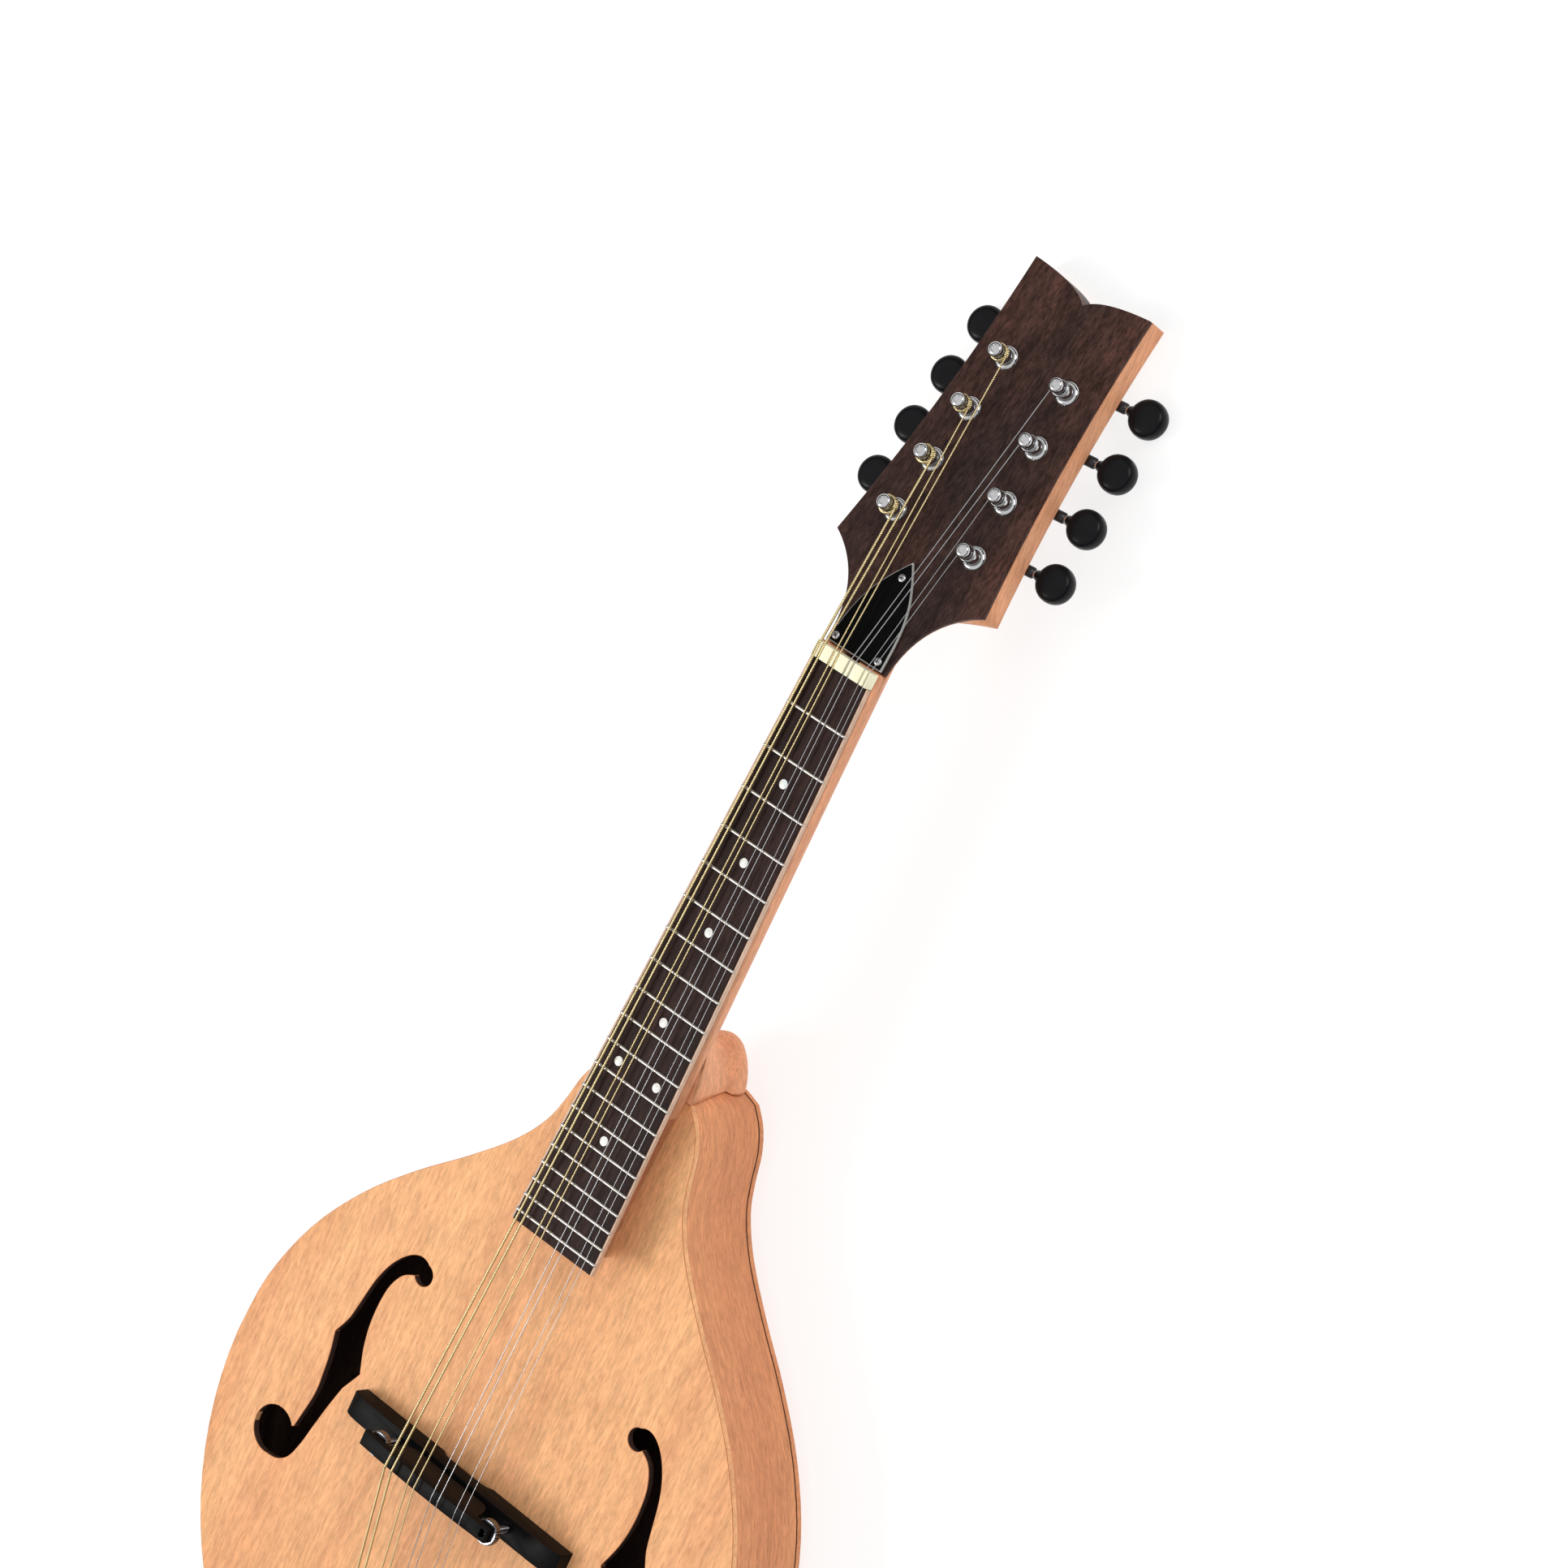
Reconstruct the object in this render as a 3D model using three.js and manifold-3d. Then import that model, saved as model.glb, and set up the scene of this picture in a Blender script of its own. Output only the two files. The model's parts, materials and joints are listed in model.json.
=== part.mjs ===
// Teardrop mandolin with two sound holes, lying on its back.
// Millimetres. +Z is up, out of the soundboard; +Y runs from the tail to the headstock; +X is the
// treble side. The origin is on the flat outer face of the back, straight below the bridge saddle.
import * as THREE from 'three';
import { mergeVertices } from 'three/addons/utils/BufferGeometryUtils.js';
import Module from 'manifold-3d';

// ---- Driving dimensions ----------------------------------------------------------------------

const gap = 0.3;                    // glue line or running clearance between two pieces

// Soundbox
const bodyDepth = 44;
const plateThickness = 3;
const plateOverhang = 0.4;
const ribThickness = 2.4;
const liningWidth = 5;
const liningHeight = 9;
const neckEndY = 176.5;             // corner where the soundbox meets the neck
const neckEndHalfWidth = 19.8;
const neckEndBulge = 3.5;           // how far the middle of that end stands forward of its corners
const waistY = 150;
const waistHalfWidth = 32.6;
const widestY = -12;
const widestHalfWidth = 128.8;
const tailY = -152;

// Neck and fingerboard. The neck frame has its origin where the scale starts, at the saddle.
const scaleLength = 350;
const fretCount = 20;
const neckAngle = 4.25;             // degrees between the fingerboard and the soundboard
const boardHeightAtSaddle = 25.5;   // from the soundboard up to the fingerboard's plane
const boardThickness = 2;
const boardEndY = 106;
const nutHalfWidth = 14.4;
const lastFretHalfWidth = 21.5;
const neckDepthAtNut = 19.6;        // wood below the fingerboard
const neckDepthAtHeel = 19.6;
const extensionRecess = 3.3;        // from the board's edge in to the wood below, at the heel
const extensionTaper = 6;           // how much deeper that recess is at the board's end
const nutLength = 6;
const nutHeight = 1.9;              // above the fingerboard

// Headstock. Its frame has its origin on the face, at the middle of the nut's far side.
const headstockAngle = 11.75;       // degrees, tilted back from the fingerboard
const headstockDrop = 4.4;          // from the fingerboard's plane down to the face, at the nut
const headstockLength = 161.5;
const headstockThickness = 12.5;
const veneerThickness = 1.8;
const shoulderHalfWidth = 36.9;
const shoulderY = 38.2;
const tipHalfWidth = 28.1;
const notchY = 153.9;

// Tuning machines
const tunerCount = 4;               // on each side
const tunerPitch = 22.9;
const firstPostX = 19.8;
const firstPostY = 55.1;
const tunerRowAngle = 4;            // degrees, the two rows close in towards the tip
const postRadius = 2.9;
const postHeight = 11;              // above the headstock's face
const wormOffset = 6.3;             // from the post's axis to the worm's axis
const wormDepth = 16.7;             // from the headstock's face down to the worm's axis
const buttonReach = 25.5;           // from the post's axis out to the middle of the button
const buttonRadius = 7.5;
const buttonThickness = 8.4;

// Bridge
const bridgeX = -1.6;               // middle of the two posts, a little towards the bass side
const bridgeWoodShift = -1.6;       // from there to the middle of the base and the saddle
const bridgeY = -1.4;
const bridgeAngle = -0.4;            // degrees about the vertical, the treble end nearer the tail
const saddleLength = 69;
const saddleDepth = 7.6;
const saddleTopHeight = 27.6;       // above the soundboard
const bridgeBaseLength = 115;
const bridgeBaseHeight = 9.5;
const breakYOfCourse = [-3.4, -2.6, -1.4, -0.4];  // where each course bends over the saddle
const bridgePostX = 30.4;
const thumbwheelZ = 19.4;           // underside of the wheel above the soundboard
const thumbwheelRadius = 5.2;

// Strings, from the bass side to the treble side
const stringRadii = [0.51, 0.51, 0.33, 0.33, 0.2, 0.2, 0.14, 0.14];
const courseSpacingAtSaddle = 12.3;
const pairSpacingAtSaddle = 3.5;
const courseSpacingAtNut = 7.6;
const pairSpacingAtNut = 2.2;
const hookY = -121;
const hookHeight = 6;               // string above the soundboard at the tailpiece

// Tailpiece
const tailpieceHalfWidth = 20;
const tailpieceFrontY = -110;
const tailpieceSheet = 1.2;
const coverHeight = 13;
const coverFrontY = -105;
const coverSheet = 1;
const strapButtonZ = 22;

const soundboardZ = bodyDepth;
const ribBottomZ = plateThickness + gap;
const ribTopZ = bodyDepth - plateThickness - gap;

// ---- Solid helpers ---------------------------------------------------------------------------

const manifold = await Module();
manifold.setup();

// A closed three.js geometry as a solid that can be joined and cut.
function solidOf(geometry) {
  const bare = geometry.clone();
  bare.deleteAttribute('normal');
  bare.deleteAttribute('uv');
  const merged = mergeVertices(bare, 1e-4);
  return new manifold.Manifold(new manifold.Mesh({
    numProp: 3,
    vertProperties: new Float32Array(merged.attributes.position.array),
    triVerts: new Uint32Array(merged.index.array),
  }));
}

function geometryOf(solid) {
  const mesh = solid.getMesh();
  const geometry = new THREE.BufferGeometry();
  geometry.setAttribute('position', new THREE.BufferAttribute(new Float32Array(mesh.vertProperties), 3));
  geometry.setIndex(new THREE.BufferAttribute(new Uint32Array(mesh.triVerts), 1));
  geometry.computeVertexNormals();
  return geometry;
}

function joined(...solids) {
  return solids.reduce((sum, solid) => sum.add(solid));
}

function cut(solid, ...tools) {
  return tools.reduce((rest, tool) => rest.subtract(tool), solid);
}

function moved(solid, matrix) {
  return solidOf(geometryOf(solid).applyMatrix4(matrix));
}

// A box given by its lowest and highest corners.
function boxBetween(x0, y0, z0, x1, y1, z1) {
  const box = new THREE.BoxGeometry(x1 - x0, y1 - y0, z1 - z0);
  return solidOf(box.translate((x0 + x1) / 2, (y0 + y1) / 2, (z0 + z1) / 2));
}

// A round bar along Z, from z0 up to z1.
function barZ(x, y, z0, z1, radius, sides = 24) {
  const bar = new THREE.CylinderGeometry(radius, radius, z1 - z0, sides);
  return solidOf(bar.rotateX(Math.PI / 2).translate(x, y, (z0 + z1) / 2));
}

// A round bar along X, from x0 to x1.
function barX(x0, x1, y, z, radius, sides = 20) {
  const bar = new THREE.CylinderGeometry(radius, radius, x1 - x0, sides);
  return solidOf(bar.rotateZ(Math.PI / 2).translate((x0 + x1) / 2, y, z));
}

// A flat shape in X and Y, pulled up from z0 to z1.
function slab(shape, z0, z1, curveSegments = 12) {
  const options = { depth: z1 - z0, bevelEnabled: false, curveSegments };
  return solidOf(new THREE.ExtrudeGeometry(shape, options).translate(0, 0, z0));
}

// A solid between two outlines with the same number of points, the lower at z0, the upper at z1.
function loft(lower, upper, z0, z1) {
  const count = lower.length;
  const corners = [...lower.map(({ x, y }) => [x, y, z0]), ...upper.map(({ x, y }) => [x, y, z1])];
  const faces = [];
  THREE.ShapeUtils.triangulateShape(lower, []).forEach(([a, b, c]) => faces.push(a, c, b));
  THREE.ShapeUtils.triangulateShape(upper, []).forEach(([a, b, c]) => {
    faces.push(count + a, count + b, count + c);
  });
  for (let i = 0; i < count; i += 1) {
    const next = (i + 1) % count;
    faces.push(i, next, count + next, i, count + next, count + i);
  }
  const geometry = new THREE.BufferGeometry();
  geometry.setAttribute('position', new THREE.Float32BufferAttribute(corners.flat(), 3));
  geometry.setIndex(faces);
  return solidOf(geometry);
}

// A profile given as [radius, height] pairs, turned about the Z axis.
function turned(profile, segments = 20) {
  const points = profile.map(([radius, height]) => new THREE.Vector2(radius, height));
  return solidOf(new THREE.LatheGeometry(points, segments).rotateX(Math.PI / 2));
}

function vectors(pairs) {
  return pairs.map(([x, y]) => new THREE.Vector2(x, y));
}

// A point to point run, so that each section of a swept tube stands on a point of the route.
class RouteCurve extends THREE.Curve {
  constructor(points) {
    super();
    this.points = points;
  }

  getPoint(t, target = new THREE.Vector3()) {
    const spans = this.points.length - 1;
    const span = Math.min(Math.floor(t * spans), spans - 1);
    return target.lerpVectors(this.points[span], this.points[span + 1], t * spans - span);
  }

  getUtoTmapping(u) {
    return u;
  }
}

// ---- Materials -------------------------------------------------------------------------------

function finish(color, roughness, metalness = 0) {
  return () => new THREE.MeshStandardMaterial({ color, roughness, metalness });
}

const soundboardWood = finish(0xe9b184, 0.6);
const bodyWood = finish(0xcd936a, 0.6);
const innerWood = finish(0xd9b88c, 0.8);
const neckWood = finish(0xc98e68, 0.6);
const darkWood = finish(0x3b2723, 0.55);
const boneWhite = finish(0xf4eebf, 0.4);
const blackWood = finish(0x161414, 0.45);
const blackPlastic = finish(0x121214, 0.35);
const chrome = finish(0xd6d6da, 0.15, 1);
const steel = finish(0xb9bbc0, 0.3, 1);
const bronze = finish(0xb98d4f, 0.35, 1);

const mandolin = new THREE.Group();

function place(parent, name, solid, material) {
  const mesh = new THREE.Mesh(geometryOf(solid), material());
  mesh.name = name;
  parent.add(mesh);
  return mesh;
}

// ---- Soundbox --------------------------------------------------------------------------------

// Right-hand half of the outline, from above the neck corner down to the middle of the tail.
function halfOutline() {
  const shoulder = new THREE.SplineCurve(vectors([
    [neckEndHalfWidth, neckEndY], [25.6, 170], [30, 161], [waistHalfWidth, waistY], [36.6, 138.5],
    [46, 124.5], [61.8, 108], [81.5, 89.5], [100.4, 68.5], [116.2, 43.5], [126.2, 15],
    [widestHalfWidth, widestY],
  ]));
  const extended = new THREE.Vector2(neckEndHalfWidth - 10, neckEndY + 11);
  const outline = [extended, ...shoulder.getPoints(44)];
  const steps = 22;
  for (let i = 1; i <= steps; i += 1) {
    const angle = (Math.PI / 2) * (i / steps);
    outline.push(new THREE.Vector2(
      widestHalfWidth * Math.cos(angle),
      widestY + (tailY - widestY) * Math.sin(angle),
    ));
  }
  return outline;
}

// Both sides of the soundbox moved inwards by a distance; the neck end is left open to be cut.
function sideOutline(inset) {
  const right = halfOutline();
  const shifted = right.map((point, i) => {
    const before = right[Math.max(i - 1, 0)];
    const after = right[Math.min(i + 1, right.length - 1)];
    const along = after.clone().sub(before).normalize();
    return new THREE.Vector2(point.x + along.y * inset, point.y - along.x * inset);
  });
  shifted[shifted.length - 1].set(0, tailY + inset);
  const left = shifted.slice(0, -1).reverse().map((point) => new THREE.Vector2(-point.x, point.y));
  return [...shifted, ...left];
}

// Everything behind the slightly bowed neck end, moved inwards by a distance.
function behindNeckEnd(inset) {
  const outline = vectors([[-200, neckEndY - inset], [-200, -200], [200, -200], [200, neckEndY - inset]]);
  const steps = 8;
  for (let i = 0; i <= steps; i += 1) {
    const across = 1 - 2 * (i / steps);
    const bulge = neckEndBulge * (1 - across ** 2);
    outline.push(new THREE.Vector2(neckEndHalfWidth * across, neckEndY + bulge - inset));
  }
  return outline;
}

function bodySlab(inset, z0, z1) {
  const sides = slab(new THREE.Shape(sideOutline(inset)), z0, z1);
  return sides.intersect(slab(new THREE.Shape(behindNeckEnd(inset)), z0 - 1, z1 + 1));
}

// One sound hole on the treble side: a stem with a nick on each edge and a round eye at each end.
function soundHole(z0, z1) {
  const upperEye = { x: 58.8, y: 56.3, radius: 4.5 };
  const lowerEye = { x: 94.3, y: -35.8, radius: 9.8 };
  const stem = new THREE.Shape();
  stem.moveTo(upperEye.x - 3.6, upperEye.y + 2.5);
  stem.splineThru(vectors([[60.4, 61.8], [65.2, 61.3], [70.3, 57.5], [75, 50.6], [78.3, 41.9], [80.7, 30]]));
  stem.splineThru(vectors([[82.5, 22], [86, 14.5]]));
  stem.splineThru(vectors([[84.2, 6], [83.2, -3], [82.9, -13], [85.8, -29]]));
  stem.lineTo(lowerEye.x, lowerEye.y);
  stem.lineTo(lowerEye.x, lowerEye.y - lowerEye.radius + 0.1);
  stem.splineThru(vectors([[87.7, -44.7], [82.7, -40.8], [79.7, -33], [77.5, -23.4], [75, -13], [72.2, -3]]));
  stem.lineTo(67.3, 6.2);
  stem.splineThru(vectors([[70.6, 15.5], [72.4, 25], [72.6, 34.5], [71.3, 43.7], [67.6, 50.8], [61.6, 54.4]]));
  stem.lineTo(upperEye.x, upperEye.y);
  return joined(
    slab(stem, z0, z1, 4),
    barZ(upperEye.x, upperEye.y, z0, z1, upperEye.radius, 24),
    barZ(lowerEye.x, lowerEye.y, z0, z1, lowerEye.radius, 32),
  );
}

const mirrorX = new THREE.Matrix4().makeScale(-1, 1, 1);

// The same solid on the other side of the centre line.
function mirrored(solid) {
  const geometry = geometryOf(solid).applyMatrix4(mirrorX);
  const index = geometry.index.array;
  for (let i = 0; i < index.length; i += 3) {
    [index[i], index[i + 1]] = [index[i + 1], index[i]];
  }
  return solidOf(geometry);
}

const halfSpaces = {
  bass: boxBetween(-300, -300, -50, -gap / 2, 300, 100),
  treble: boxBetween(gap / 2, -300, -50, 300, 300, 100),
};

const tenonHalfWidth = 8;
const tenonBackY = 158;
const tenonBottomZ = 8;
const tenonTopZ = ribTopZ - 2;
const strapStemRadius = 3.2;
const blockDepth = 34;

function alongTail(y0, y1, radius) {
  const bar = new THREE.CylinderGeometry(radius, radius, y1 - y0, 20);
  return solidOf(bar.translate(0, (y0 + y1) / 2, strapButtonZ));
}

function addSoundbox(parent) {
  const hole = soundHole(soundboardZ - plateThickness - 1, soundboardZ + 1);
  const topPlate = cut(bodySlab(0, soundboardZ - plateThickness, soundboardZ), hole, mirrored(hole));
  place(parent, 'top_plate', topPlate, soundboardWood);
  place(parent, 'back_plate', bodySlab(0, 0, plateThickness), bodyWood);

  const ribRing = cut(
    bodySlab(plateOverhang, ribBottomZ, ribTopZ),
    bodySlab(plateOverhang + ribThickness, 0, bodyDepth),
    boxBetween(-tenonHalfWidth - gap, 150, 0, tenonHalfWidth + gap, 200, bodyDepth),
    alongTail(tailY - 5, tailY + 20, strapStemRadius + gap),
  );
  const innerInset = plateOverhang + ribThickness + gap;
  const liningRing = cut(
    bodySlab(innerInset, 0, bodyDepth),
    bodySlab(innerInset + liningWidth, -1, bodyDepth + 1),
    boxBetween(-60, neckEndY - blockDepth - gap, -1, 60, 200, bodyDepth + 1),
    boxBetween(-42, tailY - 5, -1, 42, tailY + 26, bodyDepth + 1),
  );
  const topLining = boxBetween(-200, -200, ribTopZ - liningHeight, 200, 200, ribTopZ);
  const backLining = boxBetween(-200, -200, ribBottomZ, 200, 200, ribBottomZ + liningHeight);
  for (const [side, half] of Object.entries(halfSpaces)) {
    place(parent, `rib_${side}`, ribRing.intersect(half), bodyWood);
    place(parent, `lining_top_${side}`, liningRing.intersect(half).intersect(topLining), innerWood);
    place(parent, `lining_back_${side}`, liningRing.intersect(half).intersect(backLining), innerWood);
  }

  const inner = bodySlab(innerInset, ribBottomZ, ribTopZ);
  const neckBlock = cut(
    inner.intersect(boxBetween(-60, neckEndY - blockDepth, 0, 60, 200, bodyDepth)),
    boxBetween(
      -tenonHalfWidth - gap, tenonBackY - gap, tenonBottomZ - gap,
      tenonHalfWidth + gap, 200, tenonTopZ + gap,
    ),
  );
  place(parent, 'neck_block', neckBlock, innerWood);
  const tailBlock = cut(
    inner.intersect(boxBetween(-41.7, tailY, 0, 41.7, tailY + 25.7, bodyDepth)),
    alongTail(tailY - 5, tailY + 22, strapStemRadius + gap),
  );
  place(parent, 'tail_block', tailBlock, innerWood);
}

// A long brace with both ends scooped down, lying along Y from y0 to y1.
function brace(length, width, height, scoop) {
  const side = new THREE.Shape();
  side.moveTo(-length / 2, 0);
  side.lineTo(length / 2, 0);
  side.lineTo(length / 2, height * 0.25);
  side.quadraticCurveTo(length / 2 - scoop / 2, height, length / 2 - scoop, height);
  side.lineTo(-length / 2 + scoop, height);
  side.quadraticCurveTo(-length / 2 + scoop / 2, height, -length / 2, height * 0.25);
  const options = { depth: width, bevelEnabled: false, curveSegments: 5 };
  return new THREE.ExtrudeGeometry(side, options).translate(0, 0, -width / 2);
}

function addBraces(parent) {
  const toneBarAngle = 5;
  for (const [side, sign] of [['bass', -1], ['treble', 1]]) {
    const bar = brace(210, 6, 10, 40).rotateX(-Math.PI / 2).rotateZ(Math.PI / 2);
    bar.rotateZ(THREE.MathUtils.degToRad(sign * toneBarAngle));
    const mesh = place(parent, `tone_bar_${side}`, solidOf(bar), innerWood);
    mesh.position.set(sign * 33, -2, soundboardZ - plateThickness - gap);
  }
  const backBrace = brace(196, 8, 9, 30).rotateX(Math.PI / 2);
  const mesh = place(parent, 'back_brace', solidOf(backBrace), innerWood);
  mesh.position.set(0, -20, plateThickness + gap);
}

// ---- Frames of the neck and the headstock ----------------------------------------------------

const neckFrame = new THREE.Group();
neckFrame.position.set(0, 0, soundboardZ + boardHeightAtSaddle);
neckFrame.rotation.x = -THREE.MathUtils.degToRad(neckAngle);
neckFrame.updateMatrix();

const headstockFrame = new THREE.Group();
headstockFrame.position.set(0, scaleLength + nutLength - 1, -headstockDrop);
headstockFrame.rotation.x = -THREE.MathUtils.degToRad(headstockAngle);
headstockFrame.updateMatrix();

mandolin.add(neckFrame);
neckFrame.add(headstockFrame);

const bodyToNeck = neckFrame.matrix.clone().invert();

function boardHalfWidth(y) {
  const lastFretY = scaleLength * 2 ** (-fretCount / 12);
  const share = (scaleLength - y) / (scaleLength - lastFretY);
  return nutHalfWidth + (lastFretHalfWidth - nutHalfWidth) * share;
}

// ---- Neck ------------------------------------------------------------------------------------

// Moves every vertex of a geometry through a function of its place.
function reshaped(geometry, move) {
  const position = geometry.attributes.position;
  const point = new THREE.Vector3();
  for (let i = 0; i < position.count; i += 1) {
    point.fromBufferAttribute(position, i);
    move(point);
    position.setXYZ(i, point.x, point.y, point.z);
  }
  return geometry;
}

// Half-round section one unit wide each side and one unit deep, with its flat side at the top.
function halfRound() {
  const shape = new THREE.Shape();
  shape.moveTo(1, 0);
  shape.absellipse(0, 0, 1, 1, 0, Math.PI, true);
  shape.closePath();
  return shape;
}

function neckShaft() {
  const startY = neckEndY - 4;
  const endY = scaleLength + 24.3;
  const length = endY - startY;
  const options = { depth: length, steps: 6, bevelEnabled: false, curveSegments: 16 };
  const bar = new THREE.ExtrudeGeometry(halfRound(), options).rotateX(Math.PI / 2);
  return solidOf(reshaped(bar, (point) => {
    const y = endY + point.y;
    const share = (y - neckEndY) / (scaleLength - neckEndY);
    const depth = THREE.MathUtils.lerp(neckDepthAtHeel, neckDepthAtNut, Math.min(share, 1));
    const roundness = 1 - 0.12 * (1 - Math.abs(point.x));
    point.x *= boardHalfWidth(Math.min(y, scaleLength + nutLength));
    point.z = -boardThickness - gap + point.z * depth * roundness;
    point.y = y;
  }));
}

// The heel in the soundbox's frame: round in front, narrowing downwards to a small round knob.
function heel() {
  const topZ = 44;
  const knobHeight = 7.5;
  const options = { depth: topZ, steps: 24, bevelEnabled: false, curveSegments: 16 };
  const column = new THREE.ExtrudeGeometry(halfRound(), options);
  return solidOf(reshaped(column, (point) => {
    const height = point.z;
    const share = height / topZ;
    const knob = Math.sqrt(Math.max(0, 1 - ((height - knobHeight) / knobHeight) ** 2));
    const reach = Math.max(7 * knob + 12, 16) + 23.5 * share ** 3.4;
    const pinch = 1 - 0.18 * (1 - point.y) * (1 - share);
    const halfWidth = (12.2 + 5.2 * Math.max(knob, share) + 2.2 * share ** 0.8) * pinch;
    point.x *= -halfWidth;
    point.y = neckEndY + 1 - point.y * reach;
    point.z = 0.4 + height;
  }));
}

function headstockShape(startY) {
  const shape = new THREE.Shape();
  const lowerHalfWidth = 14.9;
  shape.moveTo(lowerHalfWidth, startY);
  shape.lineTo(lowerHalfWidth, 2);
  shape.bezierCurveTo(14.7, 20, 24, 32, shoulderHalfWidth, shoulderY);
  shape.quadraticCurveTo(27.7, 98, tipHalfWidth, headstockLength);
  shape.quadraticCurveTo(5, 160, 0, notchY);
  shape.quadraticCurveTo(-5, 160, -tipHalfWidth, headstockLength);
  shape.quadraticCurveTo(-27.7, 98, -shoulderHalfWidth, shoulderY);
  shape.bezierCurveTo(-24, 32, -14.7, 20, -lowerHalfWidth, 2);
  shape.lineTo(-lowerHalfWidth, startY);
  shape.closePath();
  return shape;
}

// The core under the veneer; its shoulders are undercut towards the back, next to the neck.
function headstockCore() {
  const undercut = 6.6;
  const face = headstockShape(0.5).getPoints(12).slice(0, -1);
  const back = face.map((point) => {
    const share = THREE.MathUtils.clamp((shoulderY - point.y) / 6, 0, 1);
    return new THREE.Vector2(point.x - Math.sign(point.x) * undercut * share, point.y);
  });
  return loft(back, face, -headstockThickness, -veneerThickness - gap);
}

// Where a tuning machine's post stands on the headstock, and how far its row is turned.
function tunerPlace(sign, row) {
  const angle = THREE.MathUtils.degToRad(sign * tunerRowAngle);
  const x = sign * firstPostX - Math.sin(angle) * tunerPitch * row;
  const y = firstPostY + Math.cos(angle) * tunerPitch * row;
  return { angle, x, y };
}

// Calls back once for each tuning machine, with its side, its place in the row and its frame.
function eachTuner(callback) {
  for (const [side, sign] of [['bass', -1], ['treble', 1]]) {
    for (let row = 0; row < tunerCount; row += 1) {
      callback({ side, sign, row, name: `${side}_${row + 1}`, ...tunerPlace(sign, row) });
    }
  }
}

const trussSlotHalfWidth = 3.3;
const trussAxisZ = -12.6;
const trussNutRadius = 3.4;
const trussNutEndY = 364;
const trussPocketHalfWidth = 5;

function addNeck() {
  const extension = reshaped(
    new THREE.BoxGeometry(2, neckEndY - boardEndY, 40, 1, 6, 1),
    (point) => {
      point.y += (neckEndY + boardEndY) / 2 + 3;
      const taper = (extensionTaper * (neckEndY - point.y)) / (neckEndY - boardEndY);
      point.x *= boardHalfWidth(point.y) - extensionRecess - taper;
      point.z -= boardThickness + gap + 20;
    },
  );
  const bodyClearance = moved(
    bodySlab(-gap, -20, soundboardZ + gap),
    bodyToNeck,
  );
  const tenon = moved(
    boxBetween(-tenonHalfWidth, tenonBackY, tenonBottomZ, tenonHalfWidth, neckEndY + 8, tenonTopZ),
    bodyToNeck,
  );
  const core = moved(headstockCore(), headstockFrame.matrix);
  const aboveFace = moved(
    boxBetween(-50, 1, -veneerThickness - gap, 50, 200, 60),
    headstockFrame.matrix,
  );
  const trussSlot = boxBetween(
    -trussSlotHalfWidth, 186, trussAxisZ - 4.6,
    trussSlotHalfWidth, scaleLength + nutLength + 2, 0,
  );
  const trussPocket = moved(
    boxBetween(-trussPocketHalfWidth, 1, -9.6, trussPocketHalfWidth, 17, 5),
    headstockFrame.matrix,
  );
  const nutClearance = trussNutRadius + 0.9;
  const trussNutPocket = boxBetween(
    -nutClearance, scaleLength + 0.5, trussAxisZ - nutClearance,
    nutClearance, trussNutEndY + 1.5, 0,
  );
  const postHoles = [];
  eachTuner(({ x, y }) => {
    postHoles.push(moved(barZ(x, y, -20, 5, postRadius + gap, 16), headstockFrame.matrix));
  });
  let wood = joined(neckShaft(), moved(heel(), bodyToNeck), solidOf(extension));
  wood = cut(wood, bodyClearance, aboveFace).add(core).add(tenon);
  wood = cut(wood, trussSlot, trussNutPocket, trussPocket, ...postHoles);
  wood = cut(wood, boxBetween(-60, 60, -boardThickness - gap, 60, scaleLength + nutLength, 40));
  place(neckFrame, 'neck', wood, neckWood);
}

function addTrussRod() {
  const rodStartY = 188;
  const rodEndY = scaleLength + 1;
  const bar = boxBetween(-3, rodStartY, trussAxisZ - 4.2, 3, rodEndY, trussAxisZ + 4.2);
  place(neckFrame, 'truss_rod', bar, steel);
  const nutLengthAlong = trussNutEndY - rodEndY - gap;
  const hexagon = new THREE.CylinderGeometry(trussNutRadius, trussNutRadius, nutLengthAlong, 6);
  const mesh = place(neckFrame, 'truss_rod_nut', solidOf(hexagon), steel);
  mesh.position.set(0, rodEndY + gap + nutLengthAlong / 2, trussAxisZ);
}

// ---- Fingerboard and nut ---------------------------------------------------------------------

function fretY(number) {
  return scaleLength * 2 ** (-number / 12);
}

function addFingerboard() {
  const outline = new THREE.Shape(vectors([
    [-boardHalfWidth(boardEndY), boardEndY], [boardHalfWidth(boardEndY), boardEndY],
    [nutHalfWidth, scaleLength - gap], [-nutHalfWidth, scaleLength - gap],
  ]));
  let board = slab(outline, -boardThickness, 0);
  const fretHalfHeight = 0.9;
  const fretHalfDepth = 0.85;
  for (let number = 1; number <= fretCount; number += 1) {
    const halfLength = boardHalfWidth(fretY(number)) - 0.2;
    const crown = new THREE.CylinderGeometry(1, 1, 2 * halfLength, 8).rotateZ(Math.PI / 2);
    crown.scale(1, fretHalfDepth, fretHalfHeight).translate(0, fretY(number), 0);
    board = board.add(solidOf(crown));
  }
  place(neckFrame, 'fingerboard', board, darkWood);
}

// Strings are numbered from the bass side; the two of a course stand close together.
function stringX(index, courseSpacing, pairSpacing) {
  const course = Math.floor(index / 2);
  const inPair = index % 2 === 0 ? -0.5 : 0.5;
  return (course - 1.5) * courseSpacing + inPair * pairSpacing;
}

const stringZAtNut = 1.2;
const stringZAtSaddle = 3;

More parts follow.
